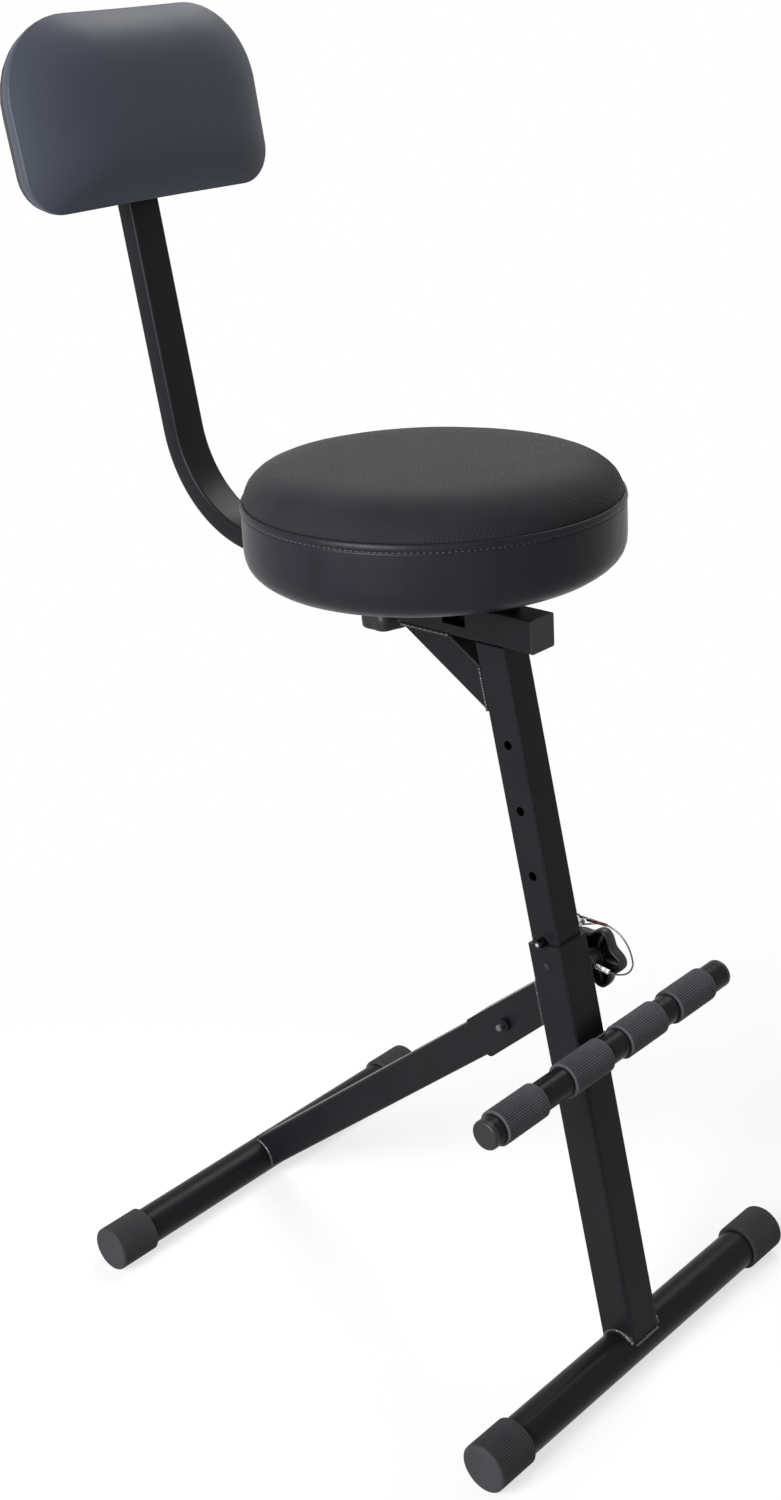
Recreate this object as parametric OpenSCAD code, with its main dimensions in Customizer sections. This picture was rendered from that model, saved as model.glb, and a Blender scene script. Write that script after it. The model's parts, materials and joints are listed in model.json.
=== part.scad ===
// Folding gig chair: a T-shaped stand on two foot tubes, whose rear leg folds against the post,
// a height-adjustable seat post with a lock pin and a clamp knob, a round upholstered seat,
// a padded backrest on a bent bar, and a footrest with four ribbed sleeves.
// Millimetres. X runs across the chair, the sitter faces -Y, +Z is up and z = 0 is the floor.
// The origin is on the floor under the middle of the chair.

/* [Feet] */
// Outside diameter of the foot tubes
foot_tube_d = 38; // [34:0.5:42]
// Wall of the foot tubes
foot_tube_wall = 1.5; // [1:0.1:3]
// Length of the front foot over its caps
front_foot_len = 434; // [360:1:520]
// Length of the rear foot over its caps
rear_foot_len = 446; // [360:1:520]
// Distance between the axes of the two feet
foot_spread = 488; // [460:1:520]
// Thickness of a rubber cap around the tube
foot_cap_wall = 3.65; // [2:0.05:5]
// Length of a rubber cap
foot_cap_len = 45; // [30:1:60]
// Closed end of a rubber cap
foot_cap_end = 4; // [2:0.5:8]
// Rounding of a rubber cap's closed end
foot_cap_round = 2; // [1:0.5:3]

/* [Outer post] */
// Lean of the posts, degrees back from upright
post_tilt = 11; // [8:0.5:13]
// Width of the outer post
outer_post_w = 38; // [37:0.5:42]
// Wall of the outer post
outer_post_wall = 1.5; // [1:0.1:2]
// Outside corner radius of the outer post
outer_post_corner = 3; // [2.5:0.5:5]
// How far the post's axis passes behind the front foot's axis
post_setback = 1.5; // [0:0.5:4]
// Height of the outer post's rim above the front foot's axis, along the post
outer_post_len = 402; // [380:1:430]
// Height of the saddle cut's lowest points above the foot's axis
saddle_start = 5; // [2:0.5:10]
// Length of the plastic guide bushing inside the rim
bushing_len = 70; // [50:1:90]
// Diameter of the bushing's snap boss
boss_d = 6; // [4:0.5:10]
// Depth of the snap boss below the rim
boss_drop = 19; // [12:0.5:26]
// How far the snap boss stands out of the post
boss_proud = 0.8; // [0.2:0.1:2]

/* [Seat post] */
// Width of the inner post
inner_post_w = 32; // [31:0.5:33]
// Wall of the inner post
inner_post_wall = 1.5; // [1:0.1:2.5]
// Outside corner radius of the inner post
inner_post_corner = 3; // [2:0.5:4]
// Length of the inner post that stands inside the outer post
inner_post_insert = 187; // [150:1:220]
// Distance between two height holes
hole_pitch = 60; // [50:1:70]
// Diameter of the height holes
hole_d = 8.6; // [8.2:0.1:9]
// Height holes above the lock pin
holes_above = 3; // [1:1:4]
// Height holes below the lock pin
holes_below = 2; // [1:1:2]
// Running gap between the inner post and what guides it
slide_gap = 0.15; // [0.1:0.05:0.3]
// Thickness of the plastic plug's flange under the inner post
post_plug_flange = 5; // [3:0.5:8]
// Length of the plastic plug inside the inner post
post_plug_depth = 16; // [8:1:25]

/* [Lock pin] */
// Diameter of the lock pin
pin_d = 8; // [7:0.1:8]
// Diameter of the pin's head
pin_head_d = 16; // [12:0.5:17]
// Thickness of the pin's head
pin_head_t = 5; // [3:0.5:6]
// Distance of the pin's head from the outer post
pin_head_gap = 3; // [2:0.5:4]
// How far the pin's tip stands out of the outer post
pin_tip_proud = 8; // [1:0.5:10]
// Length of the neck that holds the lanyard
pin_neck_len = 6; // [4:0.5:8]
// Diameter of the button on the neck's end
pin_button_d = 11; // [10:0.5:13]
// Thickness of the button on the neck's end
pin_button_t = 2; // [1:0.5:3]

/* [Height clamp] */
// Depth of the clamp knob's axis below the rim
clamp_drop = 37; // [34:0.5:40]
// Diameter of the clamp's threaded stud
clamp_stud_d = 10; // [8:1:10]
// Width across the flats of the weld nut
weld_nut_af = 17; // [15:0.5:19]
// Thickness of the weld nut
weld_nut_t = 8; // [5:0.5:9]
// Mean radius of the star knob
knob_r = 26.3; // [24:0.1:30]
// How far the knob's lobes swell and its flutes dip
knob_lobe = 3.6; // [1:0.1:4]
// Number of lobes
knob_lobes = 5; // [4:1:7]
// Angle of the first lobe, degrees from straight ahead
knob_lobe_angle = 60; // [40:1:70]
// Thickness of the star knob
knob_t = 12; // [10:0.5:30]
// Distance of the knob's back from the outer post
knob_standoff = 24.5; // [22:0.5:40]
// Thickness of the knob's rim and front
knob_wall = 2.5; // [2:0.5:4]
// Diameter of the knob's hub
knob_hub_d = 18; // [16:0.5:26]
// Thickness of the knob's inner ribs
knob_rib = 2.5; // [1.5:0.5:4]

/* [Lanyard] */
// Diameter of the lanyard's wire
wire_d = 1.6; // [1:0.1:2]
// Diameter of a crimped ferrule
ferrule_d = 4.4; // [3:0.1:5]
// Play of an eye on its neck or stud
eye_play = 0.4; // [0.2:0.1:0.8]

/* [Footrest] */
// Diameter of the footrest bar
rest_d = 27; // [22:0.5:32]
// Wall of the footrest bar
rest_wall = 1.5; // [1:0.1:3]
// Length of the footrest bar over its plugs
rest_len = 343; // [300:1:420]
// How far the bar's middle lies to the right of the post's middle
rest_shift = 5; // [0:0.5:12]
// Depth of the footrest's axis below the outer post's rim, along the post
rest_drop = 104.5; // [95:0.5:140]
// Thickness of a ribbed sleeve
sleeve_wall = 2.8; // [1.5:0.1:4]
// Length of a ribbed sleeve
sleeve_len = 53.5; // [40:0.5:60]
// Distance of the left outer sleeve from the bar's left end
sleeve_inset_left = 14.5; // [8:0.5:25]
// Distance of the right outer sleeve from the bar's right end
sleeve_inset_right = 28; // [10:0.5:32]
// Distance of the left middle sleeve from the chair's middle
sleeve_near_start = 7.5; // [2:0.5:12]
// Distance of the right middle sleeve from the post's side
sleeve_post_gap = 0.5; // [0.3:0.1:4]
// Thickness of the visible end of a bar plug
rest_plug_t = 5; // [3:0.5:8]
// Rounding of a bar plug's edge
rest_plug_round = 2.5; // [1:0.5:3]
// Depth of a plug inside its tube
plug_depth = 15; // [8:1:25]

/* [Hinge] */
// Depth of the pivot below the outer post's rim, along the post
pivot_drop = 85; // [80:1:100]
// Distance of the pivot behind the post's axis
pivot_back = 65; // [60:0.5:70]
// Diameter of the pivot bolt
bolt_d = 6; // [5:0.5:10]
// Running gap around the bolt
bolt_gap = 0.1; // [0.05:0.01:0.1]
// Sheet thickness of the bracket
bracket_t = 2; // [1.5:0.1:3]
// Reach of the bracket's cheeks behind the pivot
bracket_reach = 47.5; // [40:0.5:60]
// Rounding of the cheeks' lower corner
bracket_corner = 7; // [3:0.5:12]
// Slant of the cheeks' lower edge against the leg, degrees
bracket_taper = 2.5; // [0:0.5:4]
// Thickness of a nylon washer
washer_t = 2; // [1:0.1:3]
// Diameter of a nylon washer
washer_d = 20; // [16:0.5:24]
// Running gap between the leg and each washer
washer_gap = 0.05; // [0.05:0.01:0.1]
// Running gap between the leg and the web that stops it
stop_gap = 0.3; // [0.1:0.1:0.5]
// Width across the flats of the bolt's head and nut
bolt_af = 10; // [9:0.5:17]
// Thickness of the bolt's head
bolt_head_t = 4; // [3:0.1:7]
// Thickness of the lock nut
lock_nut_t = 5; // [4:0.1:9]
// How far the bolt's tip stands out of the nut
bolt_tip = 7; // [1:0.5:9]

/* [Rear leg] */
// Depth of the rear leg's tube
leg_depth = 35; // [30:0.5:38]
// Width of the rear leg's tube
leg_w = 25; // [20:0.5:28]
// Wall of the rear leg's tube
leg_wall = 1.5; // [1:0.1:2.5]
// Corner radius of the rear leg's tube
leg_corner = 2.5; // [2:0.5:4]

/* [Seat frame] */
// Height of the seat beam's underside above the floor at this setting
beam_z = 685; // [675:1:700]
// Width and height of the seat beam and of its strut
beam_w = 30; // [26:0.5:34]
// Wall of the beam and the strut
beam_wall = 1.5; // [1:0.1:2.5]
// Corner radius of the beam and the strut
beam_corner = 2; // [1.5:0.5:4]
// Distance of the beam's front end behind the front foot's axis
beam_front = 86; // [70:1:95]
// Length of the seat beam
beam_len = 150; // [140:1:152]
// Distance of the side slot from the beam's front end
slot_start = 71; // [60:1:80]
// Length of the side slot
slot_len = 26; // [10:1:35]
// Height of the side slot
slot_h = 14; // [8:0.5:18]
// Distance of the side slot below the beam's top
slot_drop = 6; // [4:0.5:8]
// Rise of the strut, degrees above level
strut_angle = 32.5; // [30:0.5:36]
// Height above the floor at which the strut's underside meets the post
strut_low_z = 623; // [618:1:630]
// Wall of the receiver that holds the backrest bar
receiver_wall = 2.5; // [2:0.1:3]
// Running gap around the backrest bar in its receiver
receiver_gap = 0.3; // [0.2:0.05:0.5]
// Distance of the receiver's front end behind the front foot's axis
receiver_front = 125; // [110:1:135]
// Length of the receiver
receiver_len = 165; // [155:1:170]
// Thickness of the plate under the seat
plate_t = 4; // [3:0.5:6]
// Distance of the plate's edges from the axes of the seat screws
plate_margin = 15; // [11:0.5:20]
// Distance between the seat screws, across
screw_span_x = 110; // [90:1:120]
// Distance between the seat screws, front to back
screw_span_y = 150; // [120:1:160]

/* [Seat] */
// Distance of the seat's centre behind the front foot's axis
seat_back = 200; // [190:1:210]
// Largest radius of the seat
seat_r = 165; // [150:1:180]
// Height of the widest place above the seat's underside
seat_belly = 30; // [24:1:36]
// How much the side band is drawn in at its lower edge
seat_low_draw = 13.5; // [8:0.5:18]
// How much the side band is drawn in at its upper edge
seat_top_draw = 0; // [0:0.5:8]
// Height of the side band above the seat's underside
band_h = 63.5; // [56:0.5:72]
// Rise of the crown above the side band
crown_h = 26.5; // [18:0.5:36]
// Thickness of the plywood boards
board_t = 12; // [9:0.5:15]
// Thickness of the covers
cover_t = 1.2; // [0.8:0.1:2]
// Play between the foam and what encloses it
foam_play = 0.1; // [0.05:0.05:0.3]
// Width of the cover's border that is stapled under the board
staple_border = 18; // [10:1:30]

/* [Backrest bar] */
// Lean of the backrest, degrees back from upright
back_lean = 9.3; // [6:0.1:12]
// Width of the backrest bar
bar_w = 35; // [30:0.5:38]
// Depth of the backrest bar
bar_t = 20; // [16:0.5:24]
// Wall of the backrest bar
bar_wall = 1.5; // [1:0.1:2.5]
// Bend radius of the bar's centre line
bend_r = 112; // [100:1:150]
// Distance behind the front foot's axis at which the bar's two straight lines meet
bar_corner = 500; // [490:1:515]
// Length of the bar's level line, from that corner to its inner end
bar_level = 335; // [320:1:345]
// Length of the bar's upright line, from that corner to its upper end
bar_upright = 435; // [420:1:450]
// Thickness of a bar plug's visible end
bar_plug_t = 3; // [2:0.5:5]

/* [Back pad] */
// How far the bar runs up behind the pad
pad_overlap = 131; // [125:1:150]
// Height of the pad
pad_h = 169; // [150:1:180]
// Half the width of the pad
pad_half_w = 146.5; // [130:0.5:170]
// Radius of the pad's upper corners
pad_top_r = 76; // [40:1:80]
// Radius of the pad's lower corners
pad_low_r = 36; // [20:1:60]
// How much narrower each side of the pad is at its lower corners
pad_taper = 1; // [0:0.5:10]
// Depth of the pad from its back to its widest place
pad_belly = 20; // [16:0.5:24]
// Rise of the pad's front over its widest place
pad_crown = 23; // [14:0.5:30]
// Thickness of the back board
back_board_t = 9; // [6:0.5:12]
// Height of the lower back screw above the pad's lower edge
back_screw_rise = 31; // [20:1:40]
// Distance between the two back screws
back_screw_span = 70; // [50:1:75]

/* [Backrest clamp] */
// Distance of the under-seat knob's axis behind the front foot's axis
under_knob_back = 264; // [262:1:275]
// Mean radius of the under-seat knob
under_knob_r = 20; // [18:0.5:24]
// Swell of its lobes
under_knob_lobe = 1.5; // [0.5:0.1:3]
// Thickness of the under-seat knob
under_knob_t = 17; // [14:0.5:24]
// Distance of its top below the receiver
under_knob_drop = 25.5; // [22:0.5:38]
// Diameter of its threaded stud
under_stud_d = 8; // [6:1:10]
// Diameter of its hub
under_hub_d = 16; // [14:0.5:18]
// Width across the flats of the nut welded under the receiver
receiver_nut_af = 14; // [13:0.5:15]
// Thickness of that nut
receiver_nut_t = 6.5; // [4:0.5:8]

/* [Screws] */
// Diameter of the seat and back screws
screw_d = 6; // [5:0.5:8]
// Diameter of a screw's head
screw_head_d = 12; // [10:0.5:14]
// Thickness of a screw's head
screw_head_t = 3.5; // [2:0.5:5]
// Diameter of a tee nut's barrel
tee_barrel_d = 8; // [7:0.5:10]
// Diameter of a tee nut's flange
tee_flange_d = 18; // [14:0.5:22]
// Thickness of a tee nut's flange
tee_flange_t = 1.5; // [1:0.1:2]

/* [Hidden] */
$fn = 64;

// Overrun of every cut past the faces that it opens
over = 1;
// Size of cuts that have to clear the whole chair
far = 900;

steel_black = "#1b1c1f";
rubber_black = "#232427";
zinc = "#b9bcc0";
vinyl = "#22262d";
woven = "#1d1e22";
foam_colour = "#d9d2b8";
ply = "#c8a878";

foot_r = foot_tube_d / 2;
cap_r = foot_r + foot_cap_wall;

// The posts' frame has its origin on the foot's axis, Z up the post and Y square to it, rearwards
post_half = outer_post_w / 2;
inner_half = inner_post_w / 2;
well_w = outer_post_w - 2 * outer_post_wall;
bushing_hole_w = inner_post_w + 2 * slide_gap;
// The pin rests on the rim; a stud's end stops this far from what it clamps
pin_seat_gap = 0.05;
pin_up = outer_post_len + pin_d / 2 + pin_seat_gap;
clamp_up = outer_post_len - clamp_drop;
rest_up = outer_post_len - rest_drop;
rest_left = rest_shift - rest_len / 2;
rest_right = rest_shift + rest_len / 2;
pivot_up = outer_post_len - pivot_drop;
// Radial play of a stud in its nut, and of a bolt or screw in a plain hole
stud_play = 0.05;
pass_play = 0.5;
inner_post_start = outer_post_len - inner_post_insert;

function post_y(back, up) = post_setback * cos(post_tilt) + back * cos(post_tilt) + up * sin(post_tilt);
function post_z(back, up) = cap_r - post_setback * sin(post_tilt) - back * sin(post_tilt) + up * cos(post_tilt);

// Pivot of the rear leg, in the chair's side view
pivot_y = post_y(pivot_back, pivot_up);
pivot_z = post_z(pivot_back, pivot_up);
leg_len = norm([foot_spread - pivot_y, pivot_z - cap_r]);
leg_angle = atan2(pivot_z - cap_r, foot_spread - pivot_y);
leg_half_d = leg_depth / 2;
cheek_in = leg_w / 2 + washer_gap + washer_t;
cheek_out = cheek_in + bracket_t;

rest_back = -(post_half + rest_d / 2);
sleeve_r = rest_d / 2 + sleeve_wall;

beam_top = beam_z + beam_w;
bar_mid_z = beam_top + receiver_wall + receiver_gap + bar_t / 2;
receiver_w = bar_w + 2 * (receiver_gap + receiver_wall);
receiver_h = bar_t + 2 * (receiver_gap + receiver_wall);
seat_z = beam_top + receiver_h + plate_t;

pad_low = bar_upright - pad_overlap;
back_screw_low = pad_low + back_screw_rise;
back_screw_high = back_screw_low + back_screw_span;
bend_angle = 90 - back_lean;
bend_run = bend_r * tan(bend_angle / 2);
bend_steps = 20;
section_steps = 3;
bar_section_r = 2 * bar_wall;
back_reach = bar_corner + (bar_upright + bar_plug_t) * sin(back_lean) + bar_t / 2 * cos(back_lean);
// The chair's box runs from the front caps to the bar's upper end
front_y = -(back_reach - cap_r) / 2;

under_knob_top = beam_top - under_knob_drop;
plate_w = screw_span_x + 2 * plate_margin;
plate_len = screw_span_y + 2 * plate_margin;

// Lanyard: the free wire's points in the posts' frame, as across, back, up
wire_route = [
    [32, -32, 404.5], [32, -37, 402.5], [32, -45, 397], [32, -51, 388], [32, -53.5, 379],
    [32, -53.5, 370.5], [32, -50, 364], [32, -43.5, 359.5], [32, -34, 357.5], [32, -24.5, 358.5]
];
wire_sides = 8;
wire_steps = 3;
// Where an eye opens towards its ferrule, and the step of its bends, in degrees
eye_open = 50;
eye_step = 20;
wire_x = wire_route[0][0];
pin_ferrule_start = [wire_x, -22, 406];
stud_ferrule_start = [wire_x, -11, 363];

// How sharply the seat's side band and crown curve towards their edges
low_draw_power = 4;
top_draw_power = 3;
seat_crown_power = 9;
band_shares = [0, 0.05, 0.11, 0.18, 0.27, 0.37, 0.48, 0.6, 0.7, 0.8, 0.9, 1];
top_shares = [1, 0.985, 0.965, 0.94, 0.905, 0.86, 0.8, 0.72, 0.6, 0.4, 0];

// Points on each corner of the pad's outline, and the rings of its surface
corner_steps = 8;
pad_draw_share = 0.055;
pad_side_angle = 4;
crown_shares = [0.985, 0.95, 0.88, 0.76, 0.58, 0.36, 0.14];
crown_power = 4;

// Places

module chair() {
    translate([0, front_y, 0]) children();
}

module on_post() {
    chair() translate([0, 0, cap_r]) rotate([-post_tilt, 0, 0]) translate([0, post_setback, 0]) children();
}

// Frame of the rear leg: origin on the pivot, Y down the leg, Z square to it, upwards
module on_leg() {
    chair() translate([0, pivot_y, pivot_z]) rotate([-leg_angle, 0, 0]) children();
}

// Frame of the backrest: origin at the bar's corner, Z up the bar, Y rearwards
module on_back() {
    chair() translate([0, bar_corner, bar_mid_z]) rotate([-back_lean, 0, 0]) children();
}

module on_seat() {
    chair() translate([0, seat_back, seat_z]) children();
}

// Shapes

module rounded_rect(w, d, r) {
    square([w - 2 * r, d], center = true);
    square([w, d - 2 * r], center = true);
    for (x = [-1, 1], y = [-1, 1])
        translate([x * (w / 2 - r), y * (d / 2 - r)]) circle(r);
}

module tube_section(w, d, wall, r) {
    difference() {
        rounded_rect(w, d, r);
        rounded_rect(w - 2 * wall, d - 2 * wall, r - wall / 2);
    }
}

// A cylinder along X, centred on the plane x = 0
module across(d, len) {
    rotate([0, 90, 0]) cylinder(d = d, h = len, center = true);
}

// A cylinder along X between two places
module across_from(d, x0, x1) {
    translate([x0, 0, 0]) rotate([0, 90, 0]) cylinder(d = d, h = x1 - x0);
}

module hexagon_across(af, x0, x1) {
    translate([x0, 0, 0]) rotate([0, 90, 0]) cylinder(d = af / cos(30), h = x1 - x0, $fn = 6);
}

// A closed cap over a tube's end, along +Z, with its mouth at zero
module end_cap(outer_r, inner_r, len, end_t, edge) {
    rotate_extrude() polygon(concat(
        [[inner_r, 0], [outer_r, 0]],
        [for (a = [0:15:90]) [outer_r - edge + edge * cos(a), len - edge + edge * sin(a)]],
        [[0, len], [0, len - end_t], [inner_r, len - end_t]]
    ));
}

// A plug with a rounded head from zero upwards and a shank below it
module round_plug(head_r, head_t, shank_r, depth, edge) {
    rotate_extrude() polygon(concat(
        [[0, -depth], [shank_r, -depth], [shank_r, 0], [head_r, 0]],
        [for (a = [0:15:90]) [head_r - edge + edge * cos(a), head_t - edge + edge * sin(a)]],
        [[0, head_t]]
    ));
}

function star(mean, swell, lobes, first, inset = 0) = [
    for (a = [0:4:356]) (mean - inset + swell * cos(lobes * (a - first))) * [cos(a), sin(a)]
];

// A lobed knob that grows along +Z from its hollow, ribbed back
module star_knob(mean, swell, lobes, first, t, wall, hub_d, rib, bore_d) {
    difference() {
        linear_extrude(t) polygon(star(mean, swell, lobes, first));
        difference() {
            translate([0, 0, -over]) linear_extrude(t - wall + over)
                polygon(star(mean, swell, lobes, first, wall));
            cylinder(d = hub_d, h = t);
            for (i = [0:lobes - 1]) rotate(first + i * 360 / lobes)
                translate([0, -rib / 2, 0]) cube([mean, rib, t]);
        }
        translate([0, 0, -over]) cylinder(d = bore_d, h = t - wall + over);
    }
}

// A screw along +Z, its head from minus head_t to zero
module screw(len) {
    translate([0, 0, -screw_head_t]) cylinder(d = screw_head_d, h = screw_head_t);
    cylinder(d = screw_d, h = len);
}

// A tee nut along +Z in a board of thickness t, its flange sunk into the far side
module tee_nut(t) {
    difference() {
        union() {
            cylinder(d = tee_barrel_d, h = t);
            translate([0, 0, t - tee_flange_t]) cylinder(d = tee_flange_d, h = tee_flange_t);
        }
        translate([0, 0, -over]) cylinder(d = screw_d, h = t + 2 * over);
    }
}

module tee_nut_seat(t) {
    translate([0, 0, -over]) cylinder(d = tee_barrel_d, h = t + 2 * over);
    translate([0, 0, t - tee_flange_t]) cylinder(d = tee_flange_d, h = tee_flange_t + over);
}

module at_seat_screws() {
    for (x = [-1, 1], y = [-1, 1])
        translate([x * screw_span_x / 2, y * screw_span_y / 2, 0]) children();
}

// Faces the pad: Z runs forwards out of the bar's front face
module at_back_screws(y) {
    on_back() for (s = [back_screw_low, back_screw_high])
        translate([0, y, s]) rotate([90, 0, 0]) children();
}

// Feet

module foot_tube(len) {
    rotate([0, 90, 0]) difference() {
        cylinder(d = foot_tube_d, h = len - 2 * foot_cap_end, center = true);
        cylinder(d = foot_tube_d - 2 * foot_tube_wall, h = len, center = true);
    }
}

module foot_cap(side, len) {
    mirror([side < 0 ? 1 : 0, 0, 0]) translate([len / 2 - foot_cap_len, 0, 0]) rotate([0, 90, 0])
        end_cap(cap_r, foot_r, foot_cap_len, foot_cap_end, foot_cap_round);
}

module at_front_foot() {
    chair() translate([0, 0, cap_r]) children();
}

module at_rear_foot() {
    chair() translate([0, foot_spread, cap_r]) children();
}

module front_foot_tube() {
    color(steel_black) at_front_foot() foot_tube(front_foot_len);
}

module rear_foot_tube() {
    color(steel_black) at_rear_foot() foot_tube(rear_foot_len);
}

module front_foot_cap(side) {
    color(rubber_black) at_front_foot() foot_cap(side, front_foot_len);
}

module rear_foot_cap(side) {
    color(rubber_black) at_rear_foot() foot_cap(side, rear_foot_len);
}

// Outer post

module outer_post() {
    color(steel_black) difference() {
        on_post() difference() {
            translate([0, 0, saddle_start]) linear_extrude(outer_post_len - saddle_start)
                tube_section(outer_post_w, outer_post_w, outer_post_wall, outer_post_corner);
            translate([0, 0, clamp_up]) across_from(clamp_stud_d + 2 * pass_play, 0, post_half + over);
            translate([0, 0, outer_post_len - boss_drop]) across_from(boss_d, -post_half - over, 0);
        }
        at_front_foot() across(foot_tube_d, 2 * outer_post_w);
    }
}

module guide_bushing() {
    color(rubber_black) on_post() difference() {
        union() {
            translate([0, 0, outer_post_len - bushing_len]) linear_extrude(bushing_len) difference() {
                rounded_rect(well_w, well_w, outer_post_corner - outer_post_wall / 2);
                rounded_rect(bushing_hole_w, bushing_hole_w, inner_post_corner + slide_gap);
            }
            translate([0, 0, outer_post_len - boss_drop])
                across_from(boss_d, -post_half - boss_proud, -bushing_hole_w / 2);
        }
        translate([0, 0, clamp_up]) across_from(clamp_stud_d + 2 * pass_play, 0, post_half + over);
    }
}

module clamp_weld_nut() {
    color(steel_black) on_post() translate([0, 0, clamp_up]) difference() {
        hexagon_across(weld_nut_af, post_half, post_half + weld_nut_t);
        across_from(clamp_stud_d + 2 * stud_play, 0, post_half + weld_nut_t + over);
    }
}

// Footrest

module at_rest() {
    on_post() translate([0, rest_back, rest_up]) children();
}

module footrest_bar() {
    color(steel_black) at_rest() difference() {
        across_from(rest_d, rest_left + rest_plug_t, rest_right - rest_plug_t);
        across_from(rest_d - 2 * rest_wall, rest_left, rest_right);
    }
}

// The sleeve that laps the post is notched where the bar touches the post
module footrest_sleeve(x0) {
    color(rubber_black) difference() {
        at_rest() difference() {
            across_from(2 * sleeve_r, x0, x0 + sleeve_len);
            across_from(rest_d, rest_left, rest_right);
        }
        on_post() translate([-post_half - sleeve_post_gap, -post_half - sleeve_post_gap, 0])
            cube([outer_post_w + 2 * sleeve_post_gap, outer_post_w, outer_post_len]);
    }
}

module footrest_plug(side) {
    color(rubber_black) at_rest() translate([rest_shift, 0, 0]) mirror([side < 0 ? 1 : 0, 0, 0])
        translate([rest_len / 2 - rest_plug_t, 0, 0]) rotate([0, 90, 0])
            round_plug(rest_d / 2, rest_plug_t, rest_d / 2 - rest_wall, plug_depth, rest_plug_round);
}

// Hinge

module cheek_outline() {
    reach = bracket_reach;
    low = -leg_half_d - bracket_t / 2 - reach * tan(bracket_taper);
    high = leg_half_d + stop_gap + bracket_t;
    polygon(concat(
        [[-leg_len, low + (leg_len + reach) * tan(bracket_taper)], [-leg_len, high], [reach, high]],
        [for (a = [0:15:90]) [reach - bracket_corner * (1 - cos(a)), low + bracket_corner * (1 - sin(a))]]
    ));
}

module hinge_bracket() {
    web_under = leg_half_d + stop_gap;
    color(steel_black) difference() {
        on_leg() difference() {
            rotate([90, 0, 90]) linear_extrude(2 * cheek_out, center = true) cheek_outline();
            translate([-cheek_in, -leg_len - over, -leg_depth])
                cube([2 * cheek_in, leg_len + bracket_reach + 2 * over, leg_depth + web_under]);
            across(bolt_d, 2 * cheek_out + 2 * over);
        }
        on_post() translate([-outer_post_w, post_half - far, -far / 2])
            cube([2 * outer_post_w, far, 2 * far]);
    }
}

module pivot_bolt() {
    head = cheek_out + bolt_head_t;
    tip = cheek_out + lock_nut_t + bolt_tip;
    color(zinc) on_leg() {
        across_from(bolt_d, -tip, cheek_out);
        hexagon_across(bolt_af, cheek_out, head);
    }
}

module pivot_lock_nut() {
    color(steel_black) on_leg() difference() {
        hexagon_across(bolt_af, -cheek_out - lock_nut_t, -cheek_out);
        across(bolt_d, 4 * cheek_out);
    }
}

module pivot_washers() {
    color(rubber_black) on_leg() for (side = [-1, 1]) mirror([side < 0 ? 1 : 0, 0, 0]) difference() {
        across_from(washer_d, cheek_in - washer_t, cheek_in);
        across(bolt_d, 4 * cheek_out);
    }
}

// Rear leg

module rear_leg() {
    color(steel_black) difference() {
        on_leg() difference() {
            union() {
                rotate([-90, 0, 0]) linear_extrude(leg_len)
                    tube_section(leg_w, leg_depth, leg_wall, leg_corner);
                leg_nose();
            }
            across(bolt_d + 2 * bolt_gap, 2 * leg_w);
        }
        at_rear_foot() across(foot_tube_d, 2 * outer_post_w);
    }
}

// The leg's front end is rounded about the bolt, so that it can turn under the web
module leg_nose() {
    difference() {
        across(leg_depth, leg_w);
        across(leg_depth - 2 * leg_wall, leg_w - 2 * leg_wall);
        translate([-leg_w, 0, -leg_depth]) cube([2 * leg_w, leg_depth, 2 * leg_depth]);
    }
}

// Seat post

module inner_post() {
    color(steel_black) difference() {
        on_post() difference() {
            translate([0, 0, inner_post_start]) linear_extrude(beam_z)
                tube_section(inner_post_w, inner_post_w, inner_post_wall, inner_post_corner);
            for (i = [-holes_below:holes_above])
                translate([0, 0, pin_up + i * hole_pitch]) across(hole_d, 2 * inner_post_w);
        }
        chair() translate([-far / 2, -far / 2, beam_z]) cube(far);
    }
}

module inner_post_plug() {
    inside_w = inner_post_w - 2 * inner_post_wall;
    foot_w = well_w - 2 * slide_gap;
    color(rubber_black) on_post() {
        translate([0, 0, inner_post_start - post_plug_flange]) linear_extrude(post_plug_flange)
            rounded_rect(foot_w, foot_w, outer_post_corner);
        translate([0, 0, inner_post_start]) linear_extrude(post_plug_depth)
            rounded_rect(inside_w, inside_w, inner_post_corner - inner_post_wall / 2);
    }
}

// Seat frame

module beam_body(len) {
    linear_extrude(len) tube_section(beam_w, beam_w, beam_wall, beam_corner);
}

module seat_beam() {
    color(steel_black) chair() difference() {
        translate([0, beam_front, beam_z + beam_w / 2]) rotate([-90, 0, 0]) beam_body(beam_len);
        translate([-beam_w / 2 - over, beam_front + slot_start, beam_top - slot_drop - slot_h])
            cube([beam_wall + 2 * over, slot_len, slot_h]);
    }
}

module beam_plug() {
    inside_w = beam_w - 2 * beam_wall;
    color(rubber_black) chair() translate([0, beam_front, beam_z + beam_w / 2]) rotate([-90, 0, 0]) {
        translate([0, 0, -beam_wall]) linear_extrude(beam_wall)
            rounded_rect(beam_w, beam_w, beam_corner);
        linear_extrude(plug_depth) rounded_rect(inside_w, inside_w, beam_corner - beam_wall / 2);
    }
}

// The strut rises from the post's rear face to the beam's underside, mitred at both ends
module seat_strut() {
    foot_up = (strut_low_z - post_z(inner_half, 0)) / cos(post_tilt);
    foot_y = post_y(inner_half, foot_up);
    color(steel_black) difference() {
        chair() translate([0, foot_y, strut_low_z]) rotate([strut_angle, 0, 0])
            translate([0, -beam_w, beam_w / 2]) rotate([-90, 0, 0]) beam_body(bar_level);
        on_post() translate([-outer_post_w, inner_half - far, -far / 2])
            cube([2 * outer_post_w, far, 2 * far]);
        chair() translate([-far / 2, -far / 2, beam_z]) cube(far);
    }
}

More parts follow.
